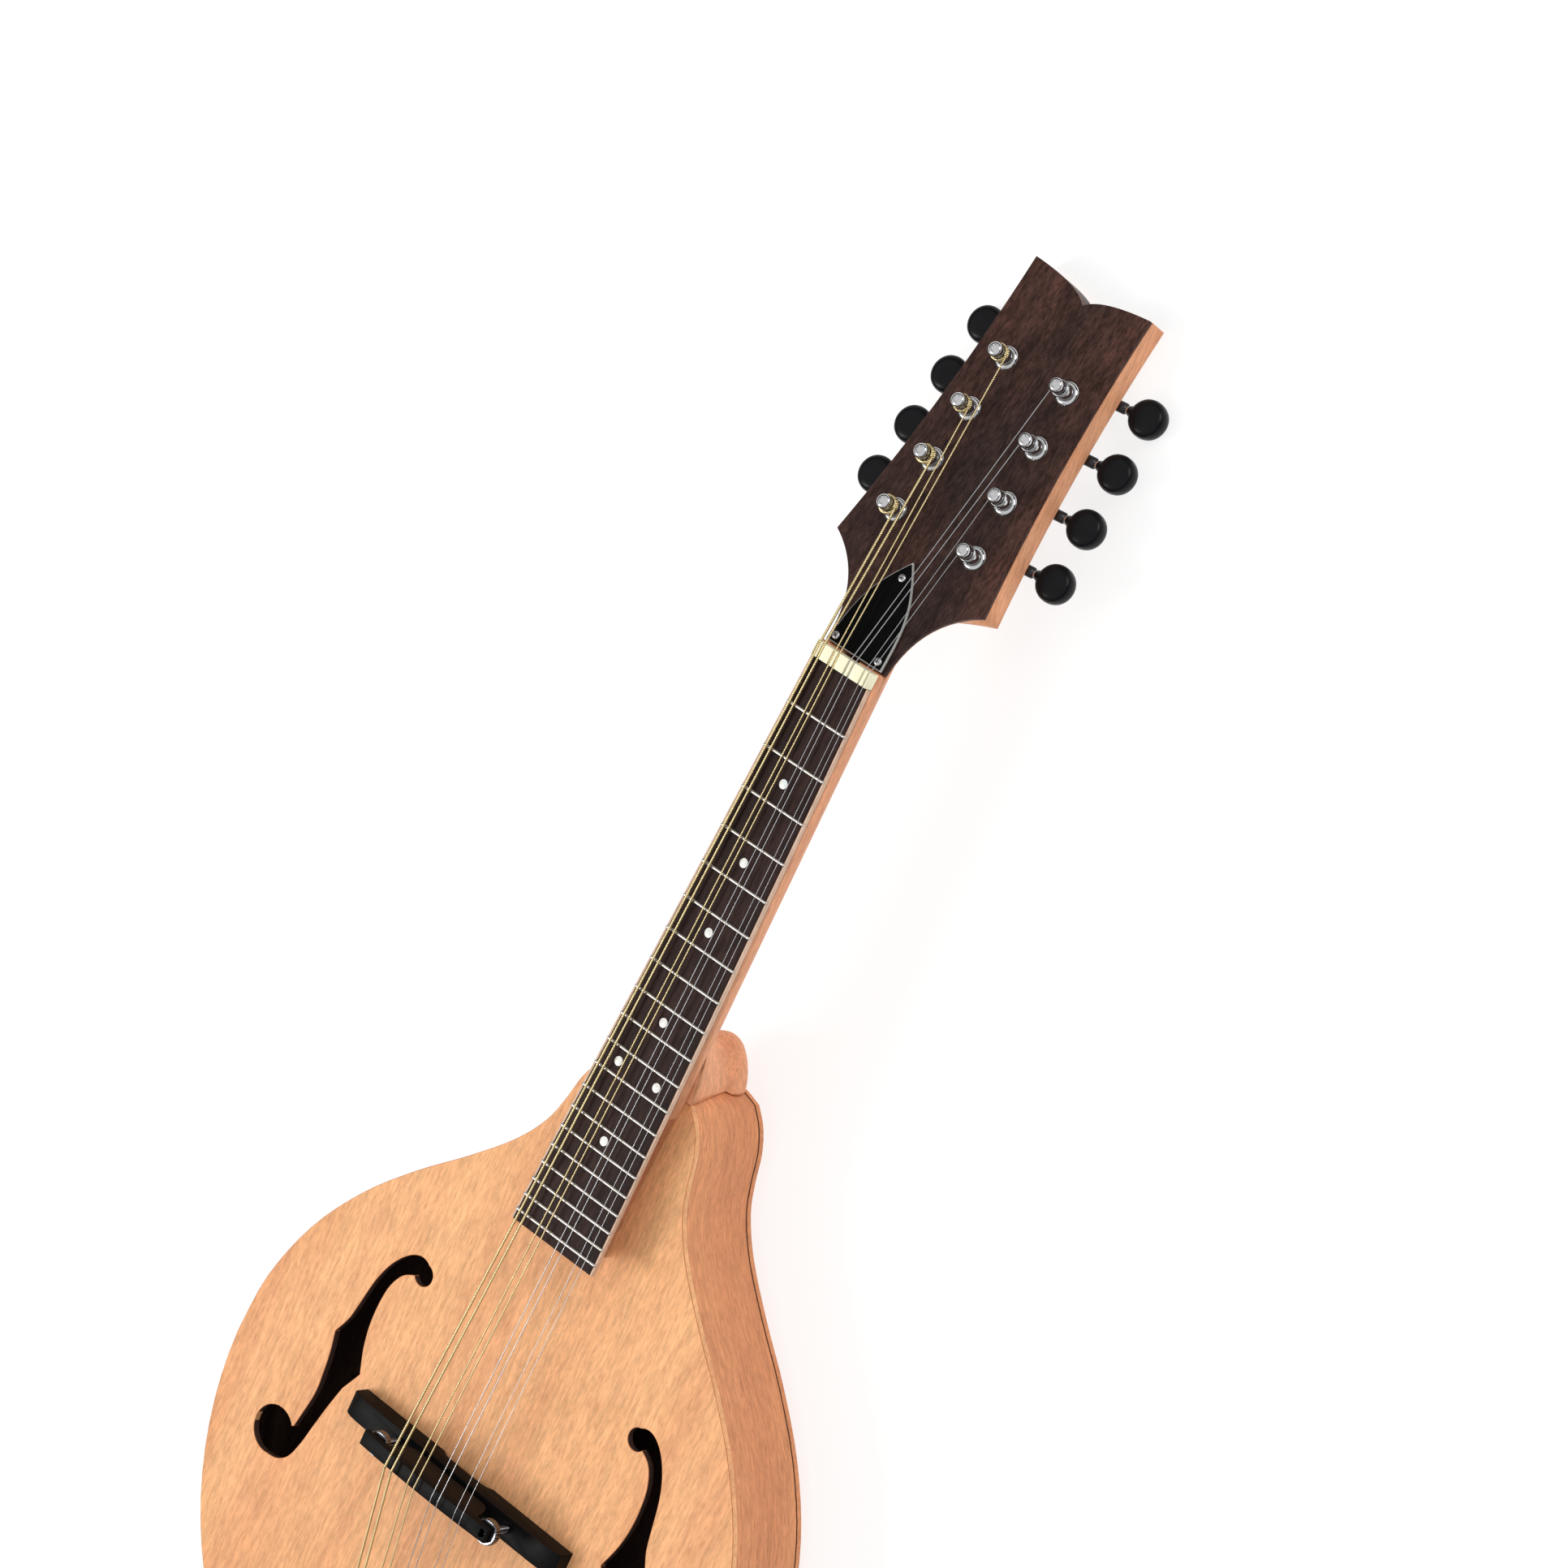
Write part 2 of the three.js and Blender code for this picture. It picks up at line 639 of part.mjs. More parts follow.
function addNut() {
  const profile = new THREE.Shape(vectors([
    [-nutHalfWidth, -boardThickness], [nutHalfWidth, -boardThickness], [nutHalfWidth, 0.2],
    [nutHalfWidth - 1, nutHeight], [-nutHalfWidth + 1, nutHeight], [-nutHalfWidth, 0.2],
  ]));
  const options = { depth: nutLength, bevelEnabled: false };
  const blank = new THREE.ExtrudeGeometry(profile, options).rotateX(Math.PI / 2);
  let nut = solidOf(blank.translate(0, scaleLength + nutLength, 0));
  stringRadii.forEach((radius, index) => {
    const x = stringX(index, courseSpacingAtNut, pairSpacingAtNut);
    const half = radius + gap;
    nut = cut(nut, boxBetween(
      x - half, scaleLength - 5, stringZAtNut - half,
      x + half, scaleLength + nutLength + 5, 5,
    ));
  });
  place(neckFrame, 'nut', nut, boneWhite);
}

// ---- Headstock -------------------------------------------------------------------------------

function trussCoverShape() {
  const shape = new THREE.Shape();
  shape.moveTo(-13.4, 1.8);
  shape.lineTo(13.4, 1.8);
  shape.bezierCurveTo(12.6, 14, 12, 20, 8.6, 28);
  shape.quadraticCurveTo(5.6, 34.4, 0, 42);
  shape.quadraticCurveTo(-5.6, 34.4, -8.6, 28);
  shape.bezierCurveTo(-12, 20, -12.6, 14, -13.4, 1.8);
  return shape;
}

function addHeadstock() {
  let veneer = slab(headstockShape(1.6), -veneerThickness, 0);
  veneer = cut(veneer, boxBetween(-trussPocketHalfWidth, 0, -5, trussPocketHalfWidth, 17, 5));
  const bushingRadius = 4.6;
  const bushingHeight = 1.4;
  eachTuner(({ x, y }) => {
    veneer = veneer.add(barZ(x, y, -veneerThickness, bushingHeight, bushingRadius, 20));
    veneer = cut(veneer, barZ(x, y, -5, 5, postRadius + gap, 16));
  });
  place(headstockFrame, 'headstock_veneer', veneer, darkWood);

  const coverThickness = 1.8;
  let cover = slab(trussCoverShape(), gap, gap + coverThickness, 8);
  for (const [x, y] of [[0, 35], [-10.6, 4.6], [10.6, 4.6]]) {
    cover = cover.add(barZ(x, y, gap + 0.5, gap + coverThickness + 0.5, 1.5, 12));
  }
  place(headstockFrame, 'truss_rod_cover', cover, blackPlastic);
}

// ---- Tuning machines -------------------------------------------------------------------------

const plateTopZ = -headstockThickness - gap;
const plateSheet = 1;
const earHalfGap = 4.6;             // from the post's axis to each bearing ear
const shaftRadius = 1.4;
const wormRadius = 1.9;
const gearRadius = wormOffset - wormRadius - gap;
const gearHalfHeight = 1.5;

function tunerPost(windingRadius) {
  const gearTop = -wormDepth + gearHalfHeight;
  const gearBottom = -wormDepth - gearHalfHeight;
  return turned([
    [0, gearBottom - 1.2], [1.6, gearBottom - 1.2], [1.6, gearBottom], [gearRadius, gearBottom],
    [gearRadius, gearTop], [postRadius, gearTop], [postRadius, 4.6], [windingRadius, 4.8],
    [windingRadius, 7.2], [postRadius - 0.5, 7.4], [postRadius - 0.5, 8.2],
    [postRadius, 8.8], [postRadius, postHeight - 0.8], [postRadius - 1, postHeight], [0, postHeight],
  ], 16);
}

// Worm, shaft and button in one piece, along X from the post's axis outwards.
function tunerButton() {
  const shaftStart = -earHalfGap - 2;
  const shaftEnd = buttonReach - buttonRadius + 2;
  const button = new THREE.SphereGeometry(1, 18, 10);
  reshaped(button, (point) => {
    const flat = Math.sign(point.z) * Math.min(Math.abs(point.z) * 1.25, 1);
    point.set(point.x * buttonRadius + buttonReach, point.y * buttonRadius, flat * buttonThickness / 2);
  });
  return joined(
    barX(shaftStart, shaftEnd, 0, 0, shaftRadius, 12),
    barX(-3.2, 3.2, 0, 0, wormRadius, 16),
    barX(buttonReach - buttonRadius - 3.2, buttonReach - buttonRadius + 1.5, 0, 0, 2.2, 16),
    solidOf(button),
  );
}

function tunerPlate() {
  const length = tunerPitch * (tunerCount - 1);
  let plate = boxBetween(
    -5.6, -8, plateTopZ - plateSheet, 6.6, length + wormOffset + 5, plateTopZ,
  );
  for (let row = 0; row < tunerCount; row += 1) {
    const y = row * tunerPitch;
    for (const x of [-earHalfGap - 1, earHalfGap]) {
      plate = plate.add(boxBetween(
        x, y + wormOffset - 3, -wormDepth - 3, x + 1, y + wormOffset + 3, plateTopZ - 0.2,
      ));
    }
    plate = cut(
      plate,
      barX(-12, 12, y + wormOffset, -wormDepth, shaftRadius + gap, 12),
      barZ(0, y, -20, 0, postRadius + gap, 16),
    );
  }
  return plate;
}

// The tangent point of a string on the side of a winding that faces the centre line.
function windingTangent(from, centre, radius, sign) {
  const away = centre.clone().sub(from);
  const distance = away.length();
  const turn = Math.asin(radius / distance) * sign;
  const reach = Math.sqrt(distance ** 2 - radius ** 2);
  return away.normalize().rotateAround(new THREE.Vector2(), turn).multiplyScalar(reach).add(from);
}

// The string that a tuner holds: the outer strings go to the posts nearest the nut.
function stringOfTuner(sign, row) {
  return sign < 0 ? row : stringRadii.length - 1 - row;
}

function addTuners() {
  for (const [side, sign] of [['bass', -1], ['treble', 1]]) {
    const mesh = place(
      headstockFrame,
      `tuner_plate_${side}`,
      sign > 0 ? tunerPlate() : mirrored(tunerPlate()),
      chrome,
    );
    mesh.position.set(sign * firstPostX, firstPostY, 0);
    mesh.rotation.z = THREE.MathUtils.degToRad(sign * tunerRowAngle);
  }
  eachTuner(({ sign, row, angle, x, y, name }) => {
    const radius = stringRadii[stringOfTuner(sign, row)];
    const post = place(headstockFrame, `tuner_post_${name}`, tunerPost(postRadius + 2 * radius), chrome);
    post.position.set(x, y, 0);
    const arm = new THREE.Group();
    arm.position.set(x, y, -wormDepth);
    arm.rotation.z = angle;
    headstockFrame.add(arm);
    const solid = sign > 0 ? tunerButton() : mirrored(tunerButton());
    const button = place(arm, `tuner_button_${name}`, solid, blackPlastic);
    button.position.set(0, wormOffset, 0);
  });
}

// ---- Bridge ----------------------------------------------------------------------------------

// Pulls a side view, drawn in X and Z, out along Y to a depth centred on the bridge's middle.
function bridgeBlock(sideView, depth) {
  const options = { depth, bevelEnabled: false, curveSegments: 6 };
  return new THREE.ExtrudeGeometry(sideView, options).rotateX(Math.PI / 2).translate(0, depth / 2, 0);
}

function bridgeBaseShape() {
  const base = new THREE.Shape();
  const half = bridgeBaseLength / 2;
  const footLength = 44;
  base.moveTo(-half, 0);
  base.lineTo(-half + footLength, 0);
  base.quadraticCurveTo(-half + footLength + 2, 2.4, -half + footLength + 5, 2.4);
  base.lineTo(half - footLength - 5, 2.4);
  base.quadraticCurveTo(half - footLength - 2, 2.4, half - footLength, 0);
  base.lineTo(half, 0);
  base.lineTo(half, 7);
  base.quadraticCurveTo(half - 2, bridgeBaseHeight, half - 12, bridgeBaseHeight);
  base.lineTo(-half + 12, bridgeBaseHeight);
  base.quadraticCurveTo(-half + 2, bridgeBaseHeight, -half, 7);
  base.closePath();
  return base;
}

// The saddle is deep in the middle and has a thin ear over each thumbwheel.
function saddleShape() {
  const saddle = new THREE.Shape();
  const half = saddleLength / 2;
  const earBottom = thumbwheelZ + 3 + gap;
  const waistBottom = bridgeBaseHeight + 3;
  const bassPost = -bridgePostX - bridgeWoodShift;
  const treblePost = bridgePostX - bridgeWoodShift;
  saddle.moveTo(-half, earBottom);
  saddle.lineTo(bassPost + 6, earBottom);
  saddle.quadraticCurveTo(bassPost + 8, waistBottom, bassPost + 13, waistBottom);
  saddle.lineTo(treblePost - 13, waistBottom);
  saddle.quadraticCurveTo(treblePost - 8, waistBottom, treblePost - 6, earBottom);
  saddle.lineTo(half, earBottom);
  saddle.lineTo(half, saddleTopHeight - 2.6);
  saddle.quadraticCurveTo(0, saddleTopHeight + 1.2, -half, saddleTopHeight - 2.6);
  saddle.closePath();
  return saddle;
}

function addBridge(parent) {
  const bridge = new THREE.Group();
  bridge.position.set(bridgeX, bridgeY, soundboardZ);
  bridge.rotation.z = THREE.MathUtils.degToRad(bridgeAngle);
  parent.add(bridge);

  const postRadiusHere = 1.5;
  const postBottom = 3;
  const postTop = 25;
  function holes(z0, z1) {
    return [-1, 1].map((sign) => barZ(sign * bridgePostX, 0, z0, z1, postRadiusHere + gap, 16));
  }
  const base = solidOf(bridgeBlock(bridgeBaseShape(), 9.4).translate(bridgeWoodShift, 0, 0));
  place(bridge, 'bridge_base', cut(base, ...holes(postBottom - gap, 60)), blackWood).position.z = gap;

  const narrowTop = 0.3;
  const saddle = reshaped(bridgeBlock(saddleShape(), saddleDepth), (point) => {
    const rise = Math.max(0, (point.z - 18) / (saddleTopHeight - 18));
    point.x += bridgeWoodShift;
    point.y *= 1 - narrowTop * rise;
  });
  place(bridge, 'bridge_saddle', cut(solidOf(saddle), ...holes(0, postTop + gap)), blackWood);

  for (const [side, sign] of [['bass', -1], ['treble', 1]]) {
    const rim = thumbwheelRadius;
    const wheel = cut(
      turned([[0, 0], [rim - 0.4, 0], [rim, 0.5], [rim, 2.5], [rim - 0.4, 3], [0, 3]], 24),
      barZ(0, 0, -1, 4, postRadiusHere + gap, 16),
    );
    const wheelMesh = place(bridge, `thumbwheel_${side}`, wheel, steel);
    wheelMesh.position.set(sign * bridgePostX, 0, thumbwheelZ);
    const post = barZ(0, 0, postBottom + gap, postTop - 1.5, postRadiusHere, 12);
    place(bridge, `bridge_post_${side}`, post, steel).position.x = sign * bridgePostX;
  }
}

// ---- Tailpiece and strap button --------------------------------------------------------------

function addTailpiece(parent) {
  const sheetBottom = soundboardZ + gap;
  const sheetTop = sheetBottom + tailpieceSheet;
  const skirtY = tailY - gap;
  let base = joined(
    boxBetween(
      -tailpieceHalfWidth, skirtY - tailpieceSheet, sheetBottom,
      tailpieceHalfWidth, tailpieceFrontY, sheetTop,
    ),
    boxBetween(-15, skirtY - tailpieceSheet, strapButtonZ - 8, 15, skirtY, sheetTop),
  );
  base = cut(base, alongTail(tailY - 5, tailY + 5, strapStemRadius + gap));
  stringRadii.forEach((radius, index) => {
    const x = stringX(index, 9, 3.4);
    base = base.add(boxBetween(
      x - 0.8, hookY - 2.4, sheetBottom + 0.4,
      x + 0.8, hookY - 0.6 - gap, sheetBottom + hookHeight + 1.2,
    ));
  });
  place(parent, 'tailpiece_base', base, chrome);

  const coverHalfWidth = tailpieceHalfWidth + gap + coverSheet;
  const coverBackY = tailY - 3;
  function coverProfile(inset) {
    const shape = new THREE.Shape();
    const half = coverHalfWidth - inset;
    const top = coverHeight - inset;
    shape.moveTo(-half, 0.6 - inset);
    shape.lineTo(half, 0.6 - inset);
    shape.lineTo(half, top - 5);
    shape.quadraticCurveTo(half, top, half - 6, top);
    shape.lineTo(-half + 6, top);
    shape.quadraticCurveTo(-half, top, -half, top - 5);
    shape.closePath();
    return shape;
  }
  function coverBlock(inset, y0, y1) {
    const options = { depth: y1 - y0, bevelEnabled: false, curveSegments: 6 };
    const block = new THREE.ExtrudeGeometry(coverProfile(inset), options).rotateX(Math.PI / 2);
    return solidOf(block.translate(0, y1, soundboardZ));
  }
  const cover = cut(
    coverBlock(0, coverBackY, coverFrontY),
    coverBlock(coverSheet, coverBackY + coverSheet, coverFrontY + 5),
  );
  place(parent, 'tailpiece_cover', cover, chrome);
}

function addStrapButton(parent) {
  const stemStart = 20;
  const flangeGap = tailpieceSheet + 2 * gap;
  const button = turned([
    [0, -stemStart], [strapStemRadius, -stemStart], [strapStemRadius, flangeGap], [6, flangeGap],
    [6, flangeGap + 1], [3.8, flangeGap + 3], [3.8, flangeGap + 7], [6.4, flangeGap + 10],
    [6.4, flangeGap + 11.5], [5.6, flangeGap + 12.5], [0, flangeGap + 12.5],
  ], 20);
  const mesh = place(parent, 'strap_button', button, blackPlastic);
  mesh.position.set(0, tailY, strapButtonZ);
  mesh.rotation.x = Math.PI / 2;
}

// ---- Strings ---------------------------------------------------------------------------------

function addStrings(parent) {
  const headstockToBody = neckFrame.matrix.clone().multiply(headstockFrame.matrix);
  const windingZ = 6;
  stringRadii.forEach((radius, index) => {
    const sign = index < stringRadii.length / 2 ? -1 : 1;
    const row = sign < 0 ? index : stringRadii.length - 1 - index;
    const { x, y } = tunerPlace(sign, row);
    const post = new THREE.Vector2(x, y);
    const nutX = stringX(index, courseSpacingAtNut, pairSpacingAtNut);
    const saddleX = stringX(index, courseSpacingAtSaddle, pairSpacingAtSaddle);
    const breakY = breakYOfCourse[Math.floor(index / 2)];
    const saddleTop = new THREE.Vector3(saddleX, breakY, stringZAtSaddle).applyMatrix4(neckFrame.matrix);
    const overNut = [scaleLength - 0.5, scaleLength + nutLength].map(
      (y) => new THREE.Vector3(nutX, y, stringZAtNut).applyMatrix4(neckFrame.matrix),
    );
    const nutExit = new THREE.Vector3(nutX, scaleLength + nutLength, stringZAtNut);
    nutExit.applyMatrix4(headstockFrame.matrix.clone().invert());
    const contact = windingTangent(
      new THREE.Vector2(nutExit.x, nutExit.y), post, postRadius + 3 * radius + gap, sign,
    );
    const postEnd = new THREE.Vector3(contact.x, contact.y, windingZ).applyMatrix4(headstockToBody);
    const hook = new THREE.Vector3(stringX(index, 9, 3.4), hookY, soundboardZ + gap + hookHeight);
    const route = new RouteCurve([hook, saddleTop, ...overNut, postEnd]);
    const ring = new THREE.Shape();
    ring.absarc(0, 0, radius, 0, 2 * Math.PI);
    const options = {
      steps: route.points.length - 1,
      extrudePath: route,
      bevelEnabled: false,
      curveSegments: 4,
    };
    const tube = solidOf(new THREE.ExtrudeGeometry(ring, options));
    place(parent, `string_${index + 1}`, tube, radius > 0.3 ? bronze : steel);
  });
}

addSoundbox(mandolin);
addBraces(mandolin);
addNeck();
addTrussRod();
addFingerboard();
addNut();
addHeadstock();
addTuners();
addBridge(mandolin);
addTailpiece(mandolin);
addStrapButton(mandolin);
addStrings(mandolin);

export default mandolin;
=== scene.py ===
"""Looks of a flat-topped teardrop mandolin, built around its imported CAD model.

Shapes are written in millimetres, in the frame of the soundbox, the neck or the headstock, and
become metres in the row frame when a mesh is made. +Y runs from the tail to the headstock, +X is
the treble side and +Z points out of the soundboard.
"""

import json
import math

import bmesh
import bpy
from mathutils import Matrix, Vector
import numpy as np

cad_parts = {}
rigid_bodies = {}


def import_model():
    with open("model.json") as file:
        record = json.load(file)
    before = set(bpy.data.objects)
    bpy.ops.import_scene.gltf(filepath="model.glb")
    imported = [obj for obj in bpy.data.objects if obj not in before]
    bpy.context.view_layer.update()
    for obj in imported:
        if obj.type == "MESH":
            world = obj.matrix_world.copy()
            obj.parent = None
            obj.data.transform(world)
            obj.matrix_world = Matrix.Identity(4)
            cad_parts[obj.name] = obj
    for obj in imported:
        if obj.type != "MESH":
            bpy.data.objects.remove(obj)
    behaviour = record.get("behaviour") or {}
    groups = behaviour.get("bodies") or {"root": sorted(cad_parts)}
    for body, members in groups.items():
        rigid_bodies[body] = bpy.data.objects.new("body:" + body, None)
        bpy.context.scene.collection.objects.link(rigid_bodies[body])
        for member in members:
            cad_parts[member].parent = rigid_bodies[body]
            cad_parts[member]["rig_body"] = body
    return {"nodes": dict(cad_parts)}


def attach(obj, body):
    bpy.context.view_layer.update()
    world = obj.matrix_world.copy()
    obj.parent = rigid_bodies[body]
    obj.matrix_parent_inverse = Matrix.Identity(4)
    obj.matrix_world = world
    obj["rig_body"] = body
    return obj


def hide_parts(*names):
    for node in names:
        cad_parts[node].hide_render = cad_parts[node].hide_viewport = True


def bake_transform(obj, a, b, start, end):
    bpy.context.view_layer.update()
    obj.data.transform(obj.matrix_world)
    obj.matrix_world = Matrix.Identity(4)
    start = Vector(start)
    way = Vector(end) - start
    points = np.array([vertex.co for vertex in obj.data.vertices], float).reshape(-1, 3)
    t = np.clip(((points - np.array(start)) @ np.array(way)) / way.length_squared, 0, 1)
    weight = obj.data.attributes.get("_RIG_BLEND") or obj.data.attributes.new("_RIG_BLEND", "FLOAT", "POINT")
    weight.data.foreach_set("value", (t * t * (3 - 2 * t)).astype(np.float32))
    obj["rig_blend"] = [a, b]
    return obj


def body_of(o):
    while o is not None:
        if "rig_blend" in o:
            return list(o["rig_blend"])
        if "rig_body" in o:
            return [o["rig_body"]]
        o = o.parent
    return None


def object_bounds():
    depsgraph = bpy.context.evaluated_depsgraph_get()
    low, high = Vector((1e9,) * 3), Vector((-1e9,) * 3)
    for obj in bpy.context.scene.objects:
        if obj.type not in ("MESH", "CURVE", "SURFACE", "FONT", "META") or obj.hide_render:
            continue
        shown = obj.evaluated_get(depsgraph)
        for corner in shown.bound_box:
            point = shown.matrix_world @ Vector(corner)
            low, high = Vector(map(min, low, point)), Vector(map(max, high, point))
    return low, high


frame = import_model()
cad_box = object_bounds()

# ---- Dimensions, in millimetres, as in the CAD model ------------------------------------------

SOUNDBOARD_Z = 44
SCALE_LENGTH = 350
FRET_COUNT = 20
NECK_ANGLE = 4.25
BOARD_HEIGHT = 25.5
BOARD_THICKNESS = 2
BOARD_BINDING = 0.9
BOARD_END_Y = 106
NUT_HALF_WIDTH = 14.4
LAST_FRET_HALF_WIDTH = 21.5
FRET_WIDTH_SHARE = 0.72
FRET_HEIGHT = 0.85
DOT_RADIUS = 1.85
DOTS = {3: [0], 5: [0], 7: [0], 10: [0], 12: [-10, 10], 15: [0]}
NUT_LENGTH = 6
HEADSTOCK_ANGLE = 11.75
HEADSTOCK_DROP = 4.4
HEADSTOCK_LENGTH = 161.5
SHOULDER = (36.9, 38.2)
TIP_HALF_WIDTH = 28.1
NOTCH_Y = 153.9
END_STAIN_REACH = 4
VENEER = 1.8
COVER_TOP = 2.1
COVER_SCREWS = ((0, 35, 0.3), (-10.6, 4.6, 0.9), (10.6, 4.6, 0.1))
COVER_SCREW_RADIUS = 1.6

TUNER_COUNT = 4
TUNER_PITCH = 22.9
TUNER_ROW_ANGLE = 4
FIRST_POST = (19.8, 55.1)
POST_RADIUS = 2.9
POST_HEIGHT = 11
WORM_OFFSET = 6.3
WORM_DEPTH = 16.7
GEAR_RADIUS = 4.2
GEAR_TEETH = 15
GEAR_HALF_WIDTH = 1.5
BUTTON_REACH = 25.5
BUTTON_RADIUS = 7.5
SHAFT_RADIUS = 1.4
PLATE_TOP_Z = -12.8
PLATE_THICKNESS = 1
WINDING_Z = (4.8, 7.2)

STRING_RADII = [0.51, 0.51, 0.33, 0.33, 0.2, 0.2, 0.14, 0.14]
WOUND_FROM_RADIUS = 0.3
COURSE_SPACING = {"saddle": 12.3, "nut": 7.6, "hook": 9}
PAIR_SPACING = {"saddle": 3.5, "nut": 2.2, "hook": 3.4}
BREAK_Y_OF_COURSE = [-3.4, -2.6, -1.4, -0.4]
HOOK_Y = -121
HOOK_Z = SOUNDBOARD_Z + 6.3
STRING_Z_AT_NUT = 1.2
STRING_Z_AT_SADDLE = 3
STRING_BEND = 1.2
EYE_LENGTH = 1.6
EYE_HEIGHT = 1.3
EYE_STEPS = 16

BRIDGE_X = -1.6
BRIDGE_Y = -1.4
BRIDGE_ANGLE = -0.4
BRIDGE_POST_X = 30.4
THUMBWHEEL_Z = 19.4
THUMBWHEEL_RADIUS = 5.2
THUMBWHEEL_THICKNESS = 3
BRIDGE_POST_BOTTOM = 3.3
BRIDGE_POST_LENGTH = 20.2
BRIDGE_POST_RADIUS = 1.5
BRIDGE_THREAD_PITCH = 0.7
STRAP_BUTTON = (0, -152, 22)
SEAM = 0.3
SOUND_HOLE_REACH_X = 104
SOUND_HOLE_REACH_Y = 62

# ---- Frames -------------------------------------------------------------------------------------

BODY = Matrix.Scale(0.001, 4)
NECK = (
    BODY
    @ Matrix.Translation((0, 0, SOUNDBOARD_Z + BOARD_HEIGHT))
    @ Matrix.Rotation(-math.radians(NECK_ANGLE), 4, "X")
)
HEADSTOCK = (
    NECK
    @ Matrix.Translation((0, SCALE_LENGTH + NUT_LENGTH - 1, -HEADSTOCK_DROP))
    @ Matrix.Rotation(-math.radians(HEADSTOCK_ANGLE), 4, "X")
)
BRIDGE = (
    BODY
    @ Matrix.Translation((BRIDGE_X, BRIDGE_Y, SOUNDBOARD_Z))
    @ Matrix.Rotation(math.radians(BRIDGE_ANGLE), 4, "Z")
)
Z_TO_X = Matrix.Rotation(math.pi / 2, 4, "Y")
UPSIDE_DOWN = Matrix.Rotation(math.pi, 4, "X")

# ---- Node graphs --------------------------------------------------------------------------------


def add_node(tree, kind, settings=None, **inputs):
    """A shader node; inputs are named as on the node, with _ for a space, and may be links."""
    node = tree.nodes.new(kind)
    for key, value in (settings or {}).items():
        setattr(node, key, value)
    for key, value in inputs.items():
        socket = node.inputs[key.replace("_", " ")]
        if isinstance(value, bpy.types.NodeSocket):
            tree.links.new(value, socket)
        else:
            socket.default_value = value
    return node


def new_material(name):
    material = bpy.data.materials.new(name)
    material.use_nodes = True
    tree = material.node_tree
    return material, tree, tree.nodes["Principled BSDF"]


def scaled_place(tree, scale):
    """The place on the object in millimetres, stretched by a scale for each axis."""
    place = add_node(tree, "ShaderNodeTexCoord").outputs["Object"]
    scale = tuple(1000 * factor for factor in scale)
    return add_node(tree, "ShaderNodeMapping", Vector=place, Scale=scale).outputs["Vector"]


def noise(tree, place, scale, detail=3.0, roughness=0.5):
    node = add_node(
        tree, "ShaderNodeTexNoise", Vector=place, Scale=scale, Detail=detail, Roughness=roughness
    )
    return node.outputs["Fac"]


def ramp(tree, factor, *stops):
    """A colour ramp; each stop is (position, grey or colour)."""
    node = add_node(tree, "ShaderNodeValToRGB", Fac=factor)
    elements = node.color_ramp.elements
    while len(elements) < len(stops):
        elements.new(0.5)
    for element, (position, colour) in zip(elements, stops):
        element.position = position
        if isinstance(colour, (int, float)):
            colour = (colour, colour, colour)
        element.color = (*colour, 1)
    return node.outputs["Color"]


def mixed(tree, factor, first, second, blend="MIX"):
    node = add_node(tree, "ShaderNodeMixRGB", {"blend_type": blend}, Fac=factor)
    for key, value in (("Color1", first), ("Color2", second)):
        if isinstance(value, bpy.types.NodeSocket):
            tree.links.new(value, node.inputs[key])
        else:
            node.inputs[key].default_value = (*value, 1)
    return node.outputs["Color"]


def arithmetic(tree, operation, first, second):
    node = add_node(tree, "ShaderNodeMath", {"operation": operation})
    for socket, value in zip(node.inputs, (first, second)):
        if isinstance(value, bpy.types.NodeSocket):
            tree.links.new(value, socket)
        else:
            socket.default_value = value
    return node.outputs["Value"]


def roughness_between(tree, shader, factor, low, high):
    node = add_node(tree, "ShaderNodeMapRange", Value=factor, To_Min=low, To_Max=high)
    tree.links.new(node.outputs["Result"], shader.inputs["Roughness"])


def bump(tree, shader, height, strength, distance_mm):
    node = add_node(
        tree, "ShaderNodeBump", Height=height, Strength=strength, Distance=distance_mm / 1000
    )
    tree.links.new(node.outputs["Normal"], shader.inputs["Normal"])


# ---- Materials ----------------------------------------------------------------------------------


